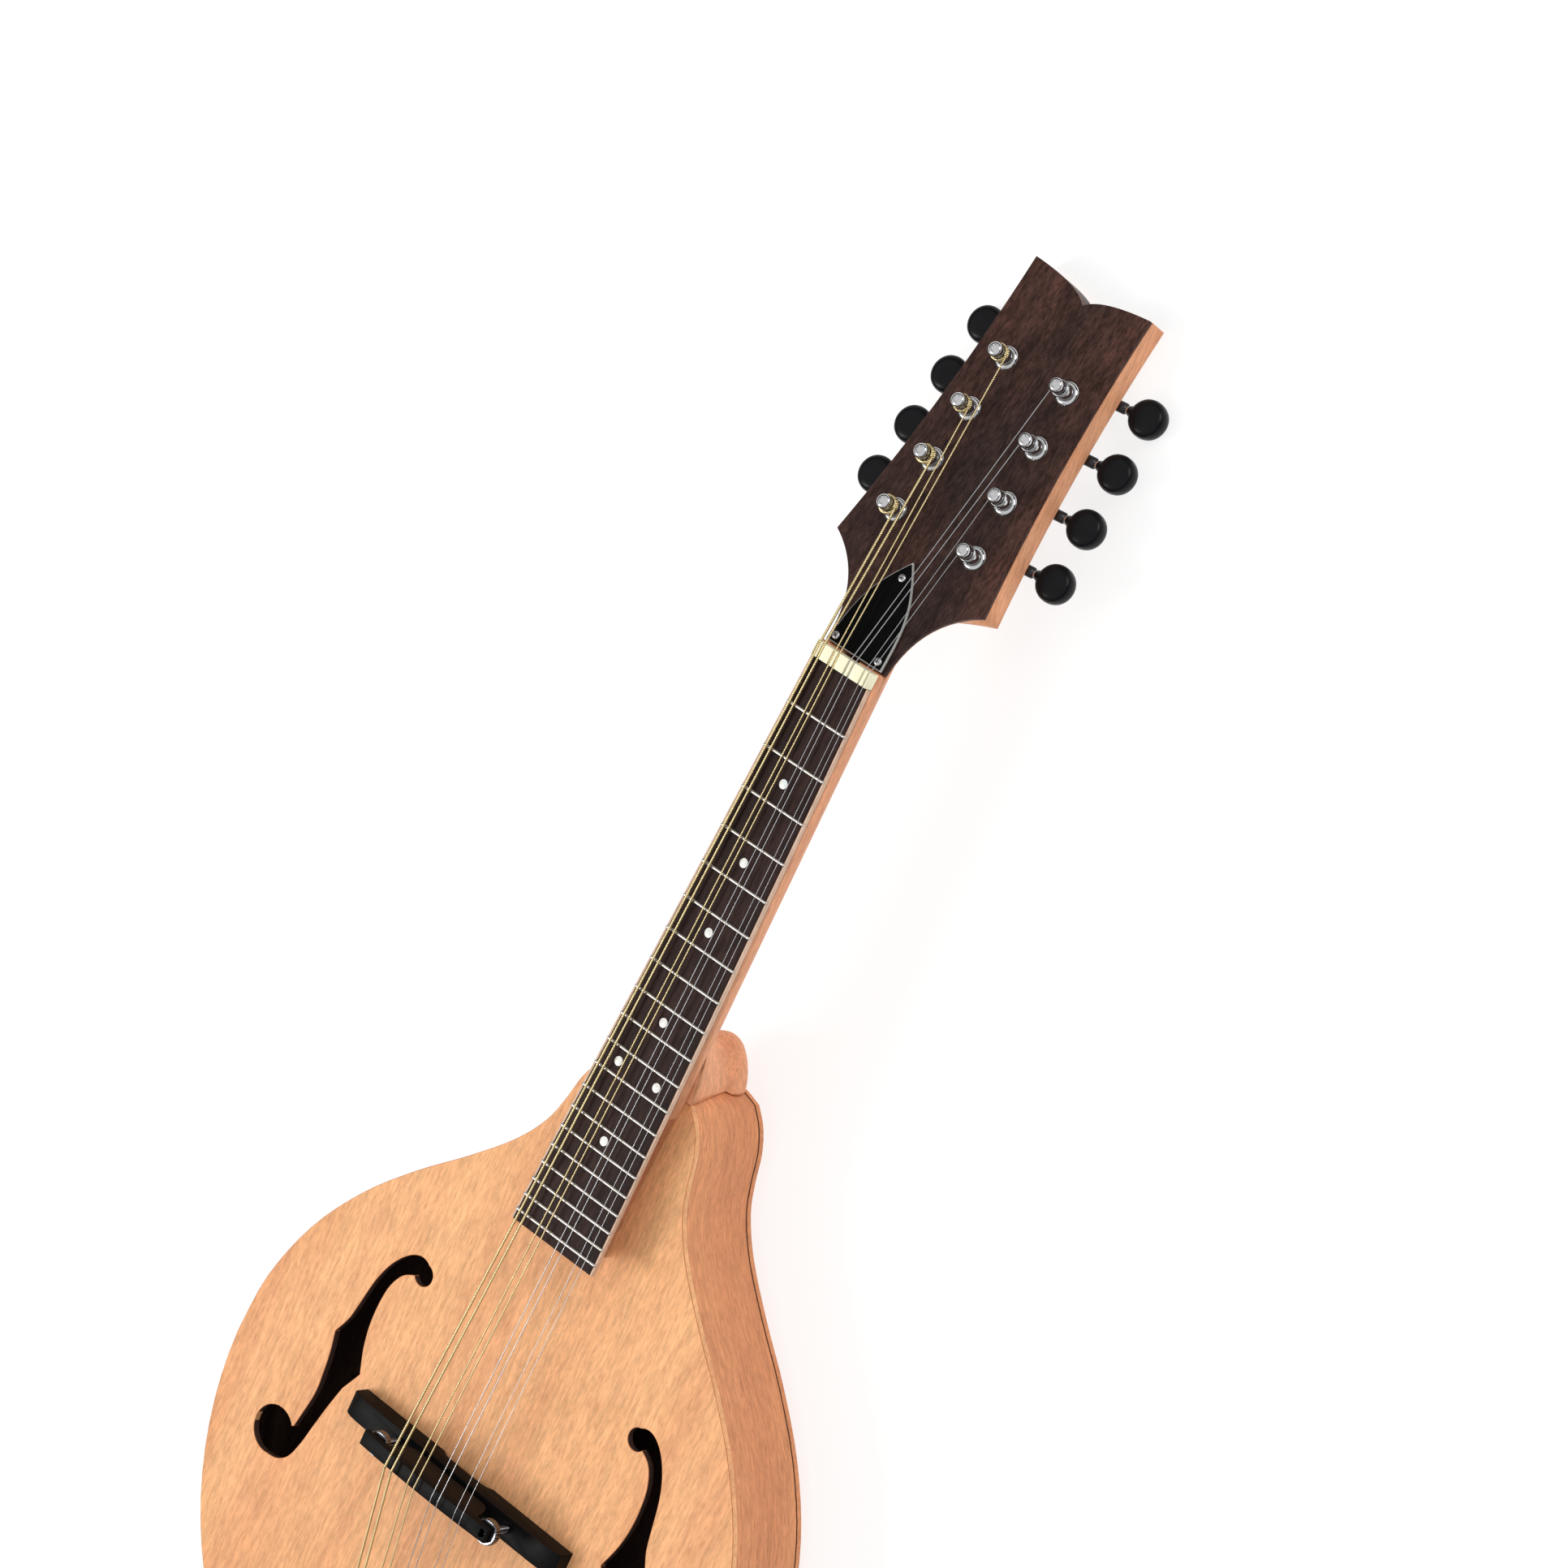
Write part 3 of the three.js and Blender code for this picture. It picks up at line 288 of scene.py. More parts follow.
def wood(name, pale, deep, pore, along, gloss=(0.42, 0.6), pores=0.55, figure=0.8, shine=0.35):
    """Open-pored wood: broad tone changes, streaks along the grain and short dark pore flecks.

    along holds 1 for each axis across the grain and a small number for each axis along it. pores
    is how dark the flecks are, figure how strong the streaks are, and shine the specular level.
    """
    material, tree, shader = new_material(name)
    across = tuple(1 if factor == 1 else factor * 1.6 for factor in along)
    halfway = tuple(1 if factor == 1 else factor * 4 for factor in along)
    broad = noise(tree, scaled_place(tree, along), 0.045, 3, 0.5)
    streaks = noise(tree, scaled_place(tree, along), 0.75, 5, 0.65)
    mottle = noise(tree, scaled_place(tree, halfway), 0.2, 4, 0.6)
    flecks = noise(tree, scaled_place(tree, across), 1.5, 2, 0.5)
    fine = noise(tree, scaled_place(tree, halfway), 0.8, 4, 0.7)
    tone = mixed(tree, ramp(tree, broad, (0.32, 0.0), (0.68, 1.0)), pale, deep)
    lines = ramp(tree, streaks, (0.3, 1 - 0.24 * figure), (0.58, 1.0), (0.8, 1 + 0.08 * figure))
    tone = mixed(tree, 1.0, tone, lines, "MULTIPLY")
    clouds = ramp(tree, mottle, (0.34, 1 - 0.14 * figure), (0.64, 1.04))
    tone = mixed(tree, 1.0, tone, clouds, "MULTIPLY")
    ripple = ramp(tree, fine, (0.36, 1 - 0.12 * figure), (0.62, 1.05))
    tone = mixed(tree, 1.0, tone, ripple, "MULTIPLY")
    fleck = ramp(tree, flecks, (0.58, 0.0), (0.7, 1.0))
    strength = arithmetic(tree, "MULTIPLY", fleck, pores)
    tree.links.new(mixed(tree, strength, tone, pore), shader.inputs["Base Color"])
    roughness_between(tree, shader, streaks, gloss[1], gloss[0])
    height = arithmetic(tree, "SUBTRACT", arithmetic(tree, "MULTIPLY", streaks, 0.5), fleck)
    bump(tree, shader, height, 0.25, 0.08)
    shader.inputs["Specular IOR Level"].default_value = shine
    return material


def metal(name, colour, gloss, grain=(1, 1, 1), grain_scale=0.8, wear=0.12):
    """Metal with faint handling marks: its gloss and tone vary a little over the surface."""
    material, tree, shader = new_material(name)
    marks = noise(tree, scaled_place(tree, grain), grain_scale, 5, 0.6)
    patches = noise(tree, scaled_place(tree, (1, 1, 1)), 0.12, 2, 0.5)
    worn = tuple(part * (1 - wear) for part in colour)
    tree.links.new(mixed(tree, patches, colour, worn), shader.inputs["Base Color"])
    roughness_between(tree, shader, marks, gloss[0], gloss[1])
    bump(tree, shader, marks, 0.06, 0.02)
    shader.inputs["Metallic"].default_value = 1
    return material


def wound_string(name, colour, groove_shade):
    """Bronze wire wound round a core: bright turns, with painted shade darkening the grooves between them.
    """
    material, tree, shader = new_material(name)
    place = scaled_place(tree, (0.15, 1, 0.15))
    turns = add_node(
        tree, "ShaderNodeTexWave", {"bands_direction": "Y"},
        Vector=place, Scale=0.42, Distortion=0.6, Detail=1.0,
    ).outputs["Fac"]
    tone = mixed(tree, ramp(tree, turns, (0.1, 0.0), (0.6, 1.0)), groove_shade, colour)
    tree.links.new(tone, shader.inputs["Base Color"])
    roughness_between(tree, shader, turns, 0.45, 0.25)
    bump(tree, shader, turns, 0.6, 0.1)
    shader.inputs["Metallic"].default_value = 1
    return material


def moulded(name, colour, gloss, speckle, shine=0.35):
    """Moulded or polished plain material: a fine skin texture and slightly uneven gloss."""
    material, tree, shader = new_material(name)
    skin = noise(tree, scaled_place(tree, (1, 1, 1)), 2.2, 4, 0.6)
    patches = noise(tree, scaled_place(tree, (1, 1, 1)), 0.15, 3, 0.5)
    varied = tuple(min(part * (1 + speckle) + 0.002, 1) for part in colour)
    tree.links.new(mixed(tree, patches, colour, varied), shader.inputs["Base Color"])
    roughness_between(tree, shader, patches, gloss[0], gloss[1])
    bump(tree, shader, skin, 0.08, 0.03)
    shader.inputs["Specular IOR Level"].default_value = shine
    return material


def pearl(name):
    material, tree, shader = new_material(name)
    swirl = noise(tree, scaled_place(tree, (1, 0.5, 1)), 0.9, 3, 0.6)
    green, cream, blue = (0.62, 0.66, 0.62), (0.86, 0.84, 0.78), (0.7, 0.78, 0.8)
    tone = ramp(tree, swirl, (0.3, green), (0.5, cream), (0.7, blue))
    tree.links.new(tone, shader.inputs["Base Color"])
    roughness_between(tree, shader, swirl, 0.2, 0.35)
    return material


ALONG_Y = (1, 0.07, 1)
ALONG_RIB = (0.07, 0.07, 1)
TOP_WOOD = wood(
    "soundboard_wood", (0.98, 0.52, 0.24), (0.88, 0.41, 0.19), (0.58, 0.235, 0.095), ALONG_Y,
    pores=0.6, figure=0.9, shine=0.22,
)
RIB_WOOD = wood(
    "rib_wood", (0.80, 0.335, 0.15), (0.70, 0.27, 0.12), (0.42, 0.14, 0.06), ALONG_RIB, shine=0.2
)
BACK_WOOD = wood(
    "back_wood", (0.80, 0.33, 0.145), (0.68, 0.26, 0.115), (0.40, 0.13, 0.06), ALONG_Y, shine=0.2
)
NECK_WOOD = wood(
    "neck_wood", (0.93, 0.44, 0.235), (0.80, 0.35, 0.18), (0.50, 0.19, 0.095), ALONG_Y, shine=0.2
)
# Darker wood for bevelled edges: end grain, with painted shade on the rounded edge.
EDGE_GRAIN_AND_SHADE_WOOD = wood(
    "edge_grain_and_shade_wood", (0.62, 0.24, 0.10), (0.52, 0.19, 0.08), (0.30, 0.10, 0.045), ALONG_RIB, shine=0.2
)
# Near-black wood: painted shade for the parts inside the soundbox.
INNER_SHADE_WOOD = wood(
    "inner_wood", (0.085, 0.050, 0.036), (0.055, 0.032, 0.024), (0.030, 0.018, 0.014), ALONG_Y,
    shine=0.05,
)
# Near-black painted shade for the faces that look into the soundbox.
SHADED_WOOD = wood(
    "shaded_inner_wood", (0.085, 0.050, 0.040), (0.055, 0.032, 0.026), (0.025, 0.015, 0.012),
    ALONG_Y, shine=0.05,
)
BINDING_WOOD = wood(
    "binding_wood", (0.74, 0.52, 0.38), (0.64, 0.42, 0.30), (0.40, 0.22, 0.14), ALONG_Y, figure=0.6
)
DARK_WOOD = wood(
    "fingerboard_wood", (0.046, 0.021, 0.017), (0.026, 0.012, 0.010), (0.010, 0.005, 0.004),
    ALONG_Y, (0.38, 0.55), 0.6, 2.0, 0.09,
)
VENEER_WOOD = wood(
    "headstock_wood", (0.105, 0.046, 0.035), (0.046, 0.026, 0.022), (0.014, 0.007, 0.006),
    ALONG_Y, (0.3, 0.46), 0.7, 2.6, 0.10,
)
BLACK_WOOD = wood(
    "bridge_wood", (0.007, 0.0065, 0.0065), (0.005, 0.0045, 0.0045), (0.002, 0.002, 0.002),
    (0.07, 1, 1), (0.35, 0.5), 0.6, 1.0, 0.06,
)
BONE = moulded("nut_bone", (0.95, 0.92, 0.66), (0.3, 0.42), -0.05)
BLACK_SATIN = moulded("button_black", (0.004, 0.004, 0.005), (0.22, 0.32), 0.6, 0.11)
BLACK_GLOSS = moulded("cover_black", (0.002, 0.002, 0.002), (0.08, 0.14), 0.5, 0.02)
PALE_LAYER = moulded("cover_pale_layer", (0.52, 0.52, 0.50), (0.35, 0.5), -0.1)
CHROME = metal("chrome", (0.64, 0.64, 0.65), (0.03, 0.08))
WHEEL_METAL = metal("wheel_metal", (0.17, 0.17, 0.18), (0.12, 0.22))
STEEL = metal("plain_steel", (0.56, 0.56, 0.58), (0.22, 0.34))
FRET_METAL = metal("fret_metal", (0.66, 0.62, 0.57), (0.3, 0.45), (0.1, 1, 1))
DARK_METAL = metal("dark_metal", (0.05, 0.05, 0.055), (0.3, 0.45))
# The second colour is painted shade in the grooves between the turns of the winding.
BRONZE = wound_string("wound_bronze", (0.92, 0.78, 0.44), (0.42, 0.29, 0.13))
PEARL = pearl("pearl_dot")

# ---- Meshes -------------------------------------------------------------------------------------


class Form:
    """Vertices and faces gathered from several simple forms, in millimetres."""

    def __init__(self):
        self.vertices = []
        self.faces = []

    def add(self, form, matrix=None):
        start = len(self.vertices)
        matrix = matrix or Matrix()
        self.vertices += [matrix @ Vector(vertex) for vertex in form[0]]
        self.faces += [[start + index for index in face] for face in form[1]]
        return self


def prism(outline, bottom, top):
    """An outline of (x, y) points, anticlockwise, pulled up from bottom to top."""
    count = len(outline)
    vertices = [(x, y, bottom) for x, y in outline] + [(x, y, top) for x, y in outline]
    faces = [list(range(count))[::-1], list(range(count, 2 * count))]
    for i in range(count):
        after = (i + 1) % count
        faces.append([i, after, count + after, count + i])
    return vertices, faces


def grid_of_rings(rings, closed_ends=True):
    """A skin over rings of points with the same count, each joined to the next."""
    sides = len(rings[0])
    vertices = [point for ring in rings for point in ring]
    faces = []
    for level in range(len(rings) - 1):
        for i in range(sides):
            after = (i + 1) % sides
            low, high = level * sides, (level + 1) * sides
            faces.append([low + i, low + after, high + after, high + i])
    if closed_ends:
        faces.append(list(range(sides))[::-1])
        faces.append([len(vertices) - sides + i for i in range(sides)])
    return vertices, faces


def lathe(profile, segments=32, swell=None):
    """A profile of (radius, z) pairs from bottom to top, turned about the Z axis.

    swell, where given, changes the radius: it gets the radius, z and the angle.
    """
    rings = []
    for radius, z in profile:
        ring = []
        for i in range(segments):
            angle = 2 * math.pi * i / segments
            reach = swell(radius, z, angle) if swell else radius
            ring.append((reach * math.cos(angle), reach * math.sin(angle), z))
        rings.append(ring)
    return grid_of_rings(rings)


def tube(path, radius, sides=10):
    """A round tube along a path of points, with flat ends."""
    points = [Vector(point) for point in path]
    rings = []
    side = None
    for i, point in enumerate(points):
        before = points[max(i - 1, 0)]
        after = points[min(i + 1, len(points) - 1)]
        along = (after - before).normalized()
        if side is None:
            side = along.orthogonal().normalized()
        side = (side - along * side.dot(along)).normalized()
        up = along.cross(side)
        rings.append([
            point + radius * (math.cos(angle) * side + math.sin(angle) * up)
            for angle in (2 * math.pi * j / sides for j in range(sides))
        ])
    return grid_of_rings(rings)


def screw_thread(length, core, crest, pitch, segments=20):
    """A threaded rod along Z from 0, with its ridge winding round it."""
    steps = max(2, round(length / pitch * 6))
    profile = [(core, length * i / steps) for i in range(steps + 1)]

    def ridge(radius, z, angle):
        wave = 0.5 + 0.5 * math.cos(angle - 2 * math.pi * z / pitch)
        return radius + (crest - core) * wave ** 2

    return lathe(profile, segments, ridge)


def toothed(radius, depth, teeth, bottom, top):
    """A wheel with rounded teeth and slightly broken edges, its axis along Z."""
    def ripple(reach, z, angle):
        if reach < radius - 1:
            return reach
        return reach - depth * (0.5 - 0.5 * math.cos(teeth * angle))

    edge = 0.35
    profile = [
        (0.01, bottom), (radius - 1.2, bottom), (radius - edge, bottom), (radius, bottom + edge),
        (radius, top - edge), (radius - edge, top), (radius - 1.2, top), (0.01, top),
    ]
    return lathe(profile, teeth * 6, ripple)


def curve(*controls, steps=12):
    """Points on a Bezier curve of any degree, without its first point."""
    points = []
    for step in range(1, steps + 1):
        level = [Vector(control) for control in controls]
        while len(level) > 1:
            level = [a.lerp(b, step / steps) for a, b in zip(level, level[1:])]
        points.append(tuple(level[0]))
    return points


def mirrored_outline(right):
    """The whole outline from its right half, given from the bottom to the top."""
    left = [(-x, y) for x, y in reversed(right) if abs(x) > 1e-6]
    return right + left


def inset_outline(outline, distance):
    """An anticlockwise outline moved inwards."""
    result = []
    count = len(outline)
    for i, (x, y) in enumerate(outline):
        before = Vector(outline[i - 1])
        after = Vector(outline[(i + 1) % count])
        here = Vector((x, y))
        first, second = (here - before).normalized(), (after - here).normalized()
        normal = Vector((-(first.y + second.y), first.x + second.x))
        normal.normalize()
        stretch = max(normal.dot(Vector((-first.y, first.x))), 0.4)
        result.append(tuple(here + normal * distance / stretch))
    return result


def rounded_path(points, radius, steps=5):
    """A path whose inner corners are replaced by short curves."""
    path = [Vector(points[0])]
    for before, corner, after in zip(points, points[1:], points[2:]):
        before, corner, after = Vector(before), Vector(corner), Vector(after)
        start = corner + (before - corner).normalized() * radius
        end = corner + (after - corner).normalized() * radius
        path.append(start)
        path += [Vector(point) for point in curve(start, corner, end, steps=steps)]
    path.append(Vector(points[-1]))
    return path


def make_piece(name, form, place, material, body, bevel=0.0, sharp=40, replaced=()):
    """A named mesh in the row frame that rides on a body and may stand for CAD nodes."""
    if isinstance(form, tuple):
        form = Form().add(form)
    mesh = bpy.data.meshes.new(name)
    mesh.from_pydata([place @ vertex for vertex in form.vertices], [], form.faces)
    return finish_piece(name, mesh, material, body, bevel, sharp, replaced)


def finish_piece(name, mesh, material, body, bevel, sharp, replaced):
    mesh.materials.clear()
    mesh.materials.append(material)
    mesh.validate()
    mesh.shade_smooth()
    piece = bpy.data.objects.new(name, mesh)
    bpy.context.scene.collection.objects.link(piece)
    if bevel:
        modifier = piece.modifiers.new("edges", "BEVEL")
        modifier.width = bevel / 1000
        modifier.segments = 3
        modifier.limit_method = "ANGLE"
        modifier.angle_limit = math.radians(sharp)
        modifier.harden_normals = True
    else:
        mesh.set_sharp_from_angle(angle=math.radians(sharp))
    if body:
        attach(piece, body)
    if replaced:
        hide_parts(*replaced)
    return piece


WELD_DISTANCE = 2e-6
FLAT_ANGLE = math.radians(0.6)


def body_of_node(node):
    return body_of(frame["nodes"][node])[0]


def refined(node, material, bevel=0.3, sharp=35):
    """A CAD node's own shape as a new piece with clean faces and broken edges."""
    mesh = bpy.data.meshes.new(node + "_finished")
    form = bmesh.new()
    form.from_mesh(frame["nodes"][node].data)
    bmesh.ops.remove_doubles(form, verts=form.verts, dist=WELD_DISTANCE)
    bmesh.ops.dissolve_limit(
        form, angle_limit=FLAT_ANGLE, verts=form.verts, edges=form.edges
    )
    form.to_mesh(mesh)
    form.free()
    return finish_piece(
        node + "_finished", mesh, material, body_of_node(node), bevel, sharp, [node]
    )


# ---- Soundbox -----------------------------------------------------------------------------------


def edge_tone(piece, material):
    """Gives the broken edges of a piece, made by its bevel, a darker tone: end grain with painted shade on
    the rounded edge.
    """
    piece.data.materials.append(material)
    piece.modifiers["edges"].material = len(piece.data.materials) - 1


def shade_inside(piece, is_inside):
    """Paints the faces that look into the soundbox with a dark painted shade, standing for the shade inside
    the box.
    """
    piece.data.materials.append(SHADED_WOOD)
    for face in piece.data.polygons:
        if is_inside(face.center * 1000, face.normal):
            face.material_index = 1


def close_seams(piece):
    """Lets a rib reach the plates above and below it, as glued wood does."""
    heights = [vertex.co.z for vertex in piece.data.vertices]
    middle = (min(heights) + max(heights)) / 2
    for vertex in piece.data.vertices:
        vertex.co.z += SEAM / 1000 * (1 if vertex.co.z > middle else -1)
    return piece


def in_sound_hole(centre, normal):
    upright = abs(normal.z) < 0.5
    return upright and abs(centre.x) < SOUND_HOLE_REACH_X and abs(centre.y) < SOUND_HOLE_REACH_Y


# The top's underside and the walls of its sound holes get the painted shade, as do the inner faces of the
# back and the ribs.
top_plate = refined("top_plate", TOP_WOOD, 0.35)
shade_inside(
    top_plate, lambda centre, normal: normal.z < -0.5 or in_sound_hole(centre, normal)
)
# The top's bevelled edges, round its rim and its sound holes, get the darker end-grain tone with painted
# shade.
edge_tone(top_plate, EDGE_GRAIN_AND_SHADE_WOOD)
shade_inside(
    refined("back_plate", BACK_WOOD, 0.5), lambda centre, normal: normal.z > 0.5,
)
for side, sign in (("bass", -1), ("treble", 1)):
    shade_inside(
        close_seams(refined(f"rib_{side}", RIB_WOOD, 0)),
        lambda centre, normal, sign=sign: normal.x * sign < -0.2,
    )
    for node in (f"lining_top_{side}", f"lining_back_{side}", f"tone_bar_{side}"):
        refined(node, INNER_SHADE_WOOD, 0.3)
# The linings, tone bars, blocks and brace inside the soundbox are given the dark painted shade.
for node in ("neck_block", "tail_block", "back_brace"):
    refined(node, INNER_SHADE_WOOD, 0.3)

# ---- Neck ---------------------------------------------------------------------------------------

neck = refined("neck", NECK_WOOD, 0, 38)
# The end face of the headstock is stained as dark as its front.
neck.data.materials.append(VENEER_WOOD)
headstock_y = HEADSTOCK.to_3x3().normalized() @ Vector((0, 1, 0))
for face in neck.data.polygons:
    along = (HEADSTOCK.inverted() @ face.center).y
    if along > NOTCH_Y - END_STAIN_REACH and face.normal.dot(headstock_y) > 0.3:
        face.material_index = 1
refined("truss_rod", STEEL, 0.2)
refined("truss_rod_nut", STEEL, 0.3)


def fret_y(number):
    return SCALE_LENGTH * 2 ** (-number / 12)


def board_half_width(y):
    share = (SCALE_LENGTH - y) / (SCALE_LENGTH - fret_y(FRET_COUNT))
    return NUT_HALF_WIDTH + (LAST_FRET_HALF_WIDTH - NUT_HALF_WIDTH) * share


def board_edge(y, inset=0.0):
    return board_half_width(y) - inset


board_start_y = SCALE_LENGTH - 0.3
board_outline = [
    (-board_edge(BOARD_END_Y, BOARD_BINDING), BOARD_END_Y),
    (board_edge(BOARD_END_Y, BOARD_BINDING), BOARD_END_Y),
    (board_edge(board_start_y, BOARD_BINDING), board_start_y),
    (-board_edge(board_start_y, BOARD_BINDING), board_start_y),
]
make_piece(
    "fingerboard_wood", prism(board_outline, -BOARD_THICKNESS, 0), NECK, DARK_WOOD,
    "instrument", bevel=0.2, replaced=["fingerboard"],
)
for side, sign in (("bass", -1), ("treble", 1)):
    strip = [
        (sign * board_edge(BOARD_END_Y, BOARD_BINDING), BOARD_END_Y),
        (sign * board_edge(BOARD_END_Y), BOARD_END_Y),
        (sign * board_edge(board_start_y), board_start_y),
        (sign * board_edge(board_start_y, BOARD_BINDING), board_start_y),
    ]
    make_piece(
        f"fingerboard_binding_{side}", prism(strip[::sign], -BOARD_THICKNESS, 0), NECK,
        BINDING_WOOD, "instrument", bevel=0.2,
    )

frets = Form()
for number in range(1, FRET_COUNT + 1):
    half = board_edge(fret_y(number), 0.15)
    profile = [(0.35, -half), (0.75, -half + 0.12), (0.95, -half + 0.4), (1, -half + 0.8)]
    profile += [(radius, -z) for radius, z in reversed(profile)]
    flatten = Matrix.Diagonal((1, FRET_WIDTH_SHARE, FRET_HEIGHT, 1))
    frets.add(lathe(profile, 20), Matrix.Translation((0, fret_y(number), 0)) @ flatten @ Z_TO_X)
make_piece("frets", frets, NECK, FRET_METAL, "instrument", sharp=60)

dots = Form()
for number, places in DOTS.items():
    y = (fret_y(number) + fret_y(number - 1)) / 2
    for x in places:
        disc = lathe(
            [(DOT_RADIUS, -0.6), (DOT_RADIUS, 0.03), (DOT_RADIUS - 0.15, 0.07), (0.01, 0.07)], 28
        )
        dots.add(disc, Matrix.Translation((x, y, 0)))
make_piece("position_dots", dots, NECK, PEARL, "instrument")

refined("nut", BONE, 0.3)

# ---- Headstock ----------------------------------------------------------------------------------

right_half = [(14.9, 1.6), (14.9, 2)]
right_half += curve((14.9, 2), (14.7, 20), (24, 32), SHOULDER, steps=20)
tip = (TIP_HALF_WIDTH, HEADSTOCK_LENGTH)
right_half += curve(SHOULDER, (27.7, 98), tip, steps=22)
right_half += curve(tip, (5, 160), (0, NOTCH_Y), steps=14)
make_piece(
    "headstock_face", prism(mirrored_outline(right_half), -VENEER, 0), HEADSTOCK, VENEER_WOOD,
    "instrument", bevel=0.35, replaced=["headstock_veneer"],
)

cover_half = [(0, 1.8), (13.4, 1.8)]
cover_half += curve((13.4, 1.8), (12.6, 14), (12, 20), (8.6, 28), steps=12)
cover_half += curve((8.6, 28), (5.6, 34.4), (0, 42), steps=10)
cover_outline = mirrored_outline(cover_half)
make_piece(
    "truss_cover_edge", prism(cover_outline, 0.3, 1.5), HEADSTOCK, PALE_LAYER,
    "instrument", bevel=0.15, replaced=["truss_rod_cover"],
)
make_piece(
    "truss_cover_face", prism(inset_outline(cover_outline, 0.45), 1.4, COVER_TOP), HEADSTOCK,
    BLACK_GLOSS, "instrument", bevel=0.25,
)


def screw_head(radius, height):
    dome = [(radius, 0), (radius, height * 0.45), (radius * 0.85, height * 0.8)]
    dome += [(radius * 0.5, height), (0.01, height * 1.03)]
    return lathe(dome, 24)


def cross_slot(radius, top):
    arm, width = radius * 0.55, radius * 0.13
    bar = [(-arm, -width), (arm, -width), (arm, width), (-arm, width)]
    cross = Form().add(prism(bar, top - 0.3, top + 0.02))
    cross.add(prism(bar, top - 0.3, top + 0.021), Matrix.Rotation(math.pi / 2, 4, "Z"))
    return cross.vertices, cross.faces


heads, slots = Form(), Form()
for x, y, turn in COVER_SCREWS:
    spot = Matrix.Translation((x, y, COVER_TOP - 0.1)) @ Matrix.Rotation(turn, 4, "Z")
    heads.add(screw_head(COVER_SCREW_RADIUS, 0.8), spot)
    slots.add(cross_slot(COVER_SCREW_RADIUS, 0.82), spot)
make_piece("truss_cover_screws", heads, HEADSTOCK, STEEL, "instrument", sharp=50)
make_piece("truss_cover_screw_slots", slots, HEADSTOCK, DARK_METAL, "instrument")

# ---- Tuning machines ----------------------------------------------------------------------------


def tuner_place(sign, row):
    """(x, y, row angle) of a tuning machine's post on the headstock."""
    angle = math.radians(sign * TUNER_ROW_ANGLE)
    x = sign * FIRST_POST[0] - math.sin(angle) * TUNER_PITCH * row
    y = FIRST_POST[1] + math.cos(angle) * TUNER_PITCH * row
    return x, y, angle


def string_of_tuner(sign, row):
    """The string on a tuner, and by the same rule the tuner of a string."""
    return row if sign < 0 else len(STRING_RADII) - 1 - row


def string_metal(radius):
    return BRONZE if radius > WOUND_FROM_RADIUS else STEEL


def winding(radius):
    """The turns of a string round its post, from the top one down."""
    room = WINDING_Z[1] - WINDING_Z[0]
    turns = min(room / (2 * radius), 5)
    steps = max(8, round(turns * 20))
    reach = POST_RADIUS + radius * 0.9
    middle = (WINDING_Z[0] + WINDING_Z[1]) / 2
    path = []
    for i in range(steps + 1):
        angle = 2 * math.pi * turns * i / steps
        z = middle + (0.5 - i / steps) * 2.04 * radius * turns
        path.append((reach * math.cos(angle), reach * math.sin(angle), z))
    return tube(path, radius, 8)


def post_form():
    top = POST_HEIGHT
    neck = POST_RADIUS - 0.45
    return lathe([
        (POST_RADIUS, -WORM_DEPTH + GEAR_HALF_WIDTH), (POST_RADIUS, 4.4), (neck, 4.9), (neck, 7.3),
        (POST_RADIUS - 0.1, 8.2), (POST_RADIUS, 8.6), (POST_RADIUS, top - 1.2),
        (POST_RADIUS - 0.25, top - 0.5), (POST_RADIUS - 0.8, top - 0.08), (1.4, top),
        (1.2, top - 0.35), (0.01, top - 0.45),
    ], 32)


BUTTON_PROFILE = [
    (0.01, -4.0), (3.4, -4.05), (5.4, -3.85), (6.6, -3.2), (7.2, -2.3), (7.45, -1.2), (7.5, 0),
    (7.45, 1.2), (7.2, 2.3), (6.6, 3.2), (5.4, 3.85), (3.4, 4.05), (0.01, 4.0),
]
FERRULE_RADIUS = 4.9
SHAFT_START = -6.4
SHAFT_INTO_BUTTON = 1.5
WORM_HALF_LENGTH = 3.2
WORM_GAP = 0.1
COLLAR_SETBACK = 7.6
BUTTON_NECK_SETBACK = 1.6
PLATE_SCREW_ROWS = (-0.22, 0.62, 1.62, 2.62)
PLATE_SCREW_RADIUS = 1.5

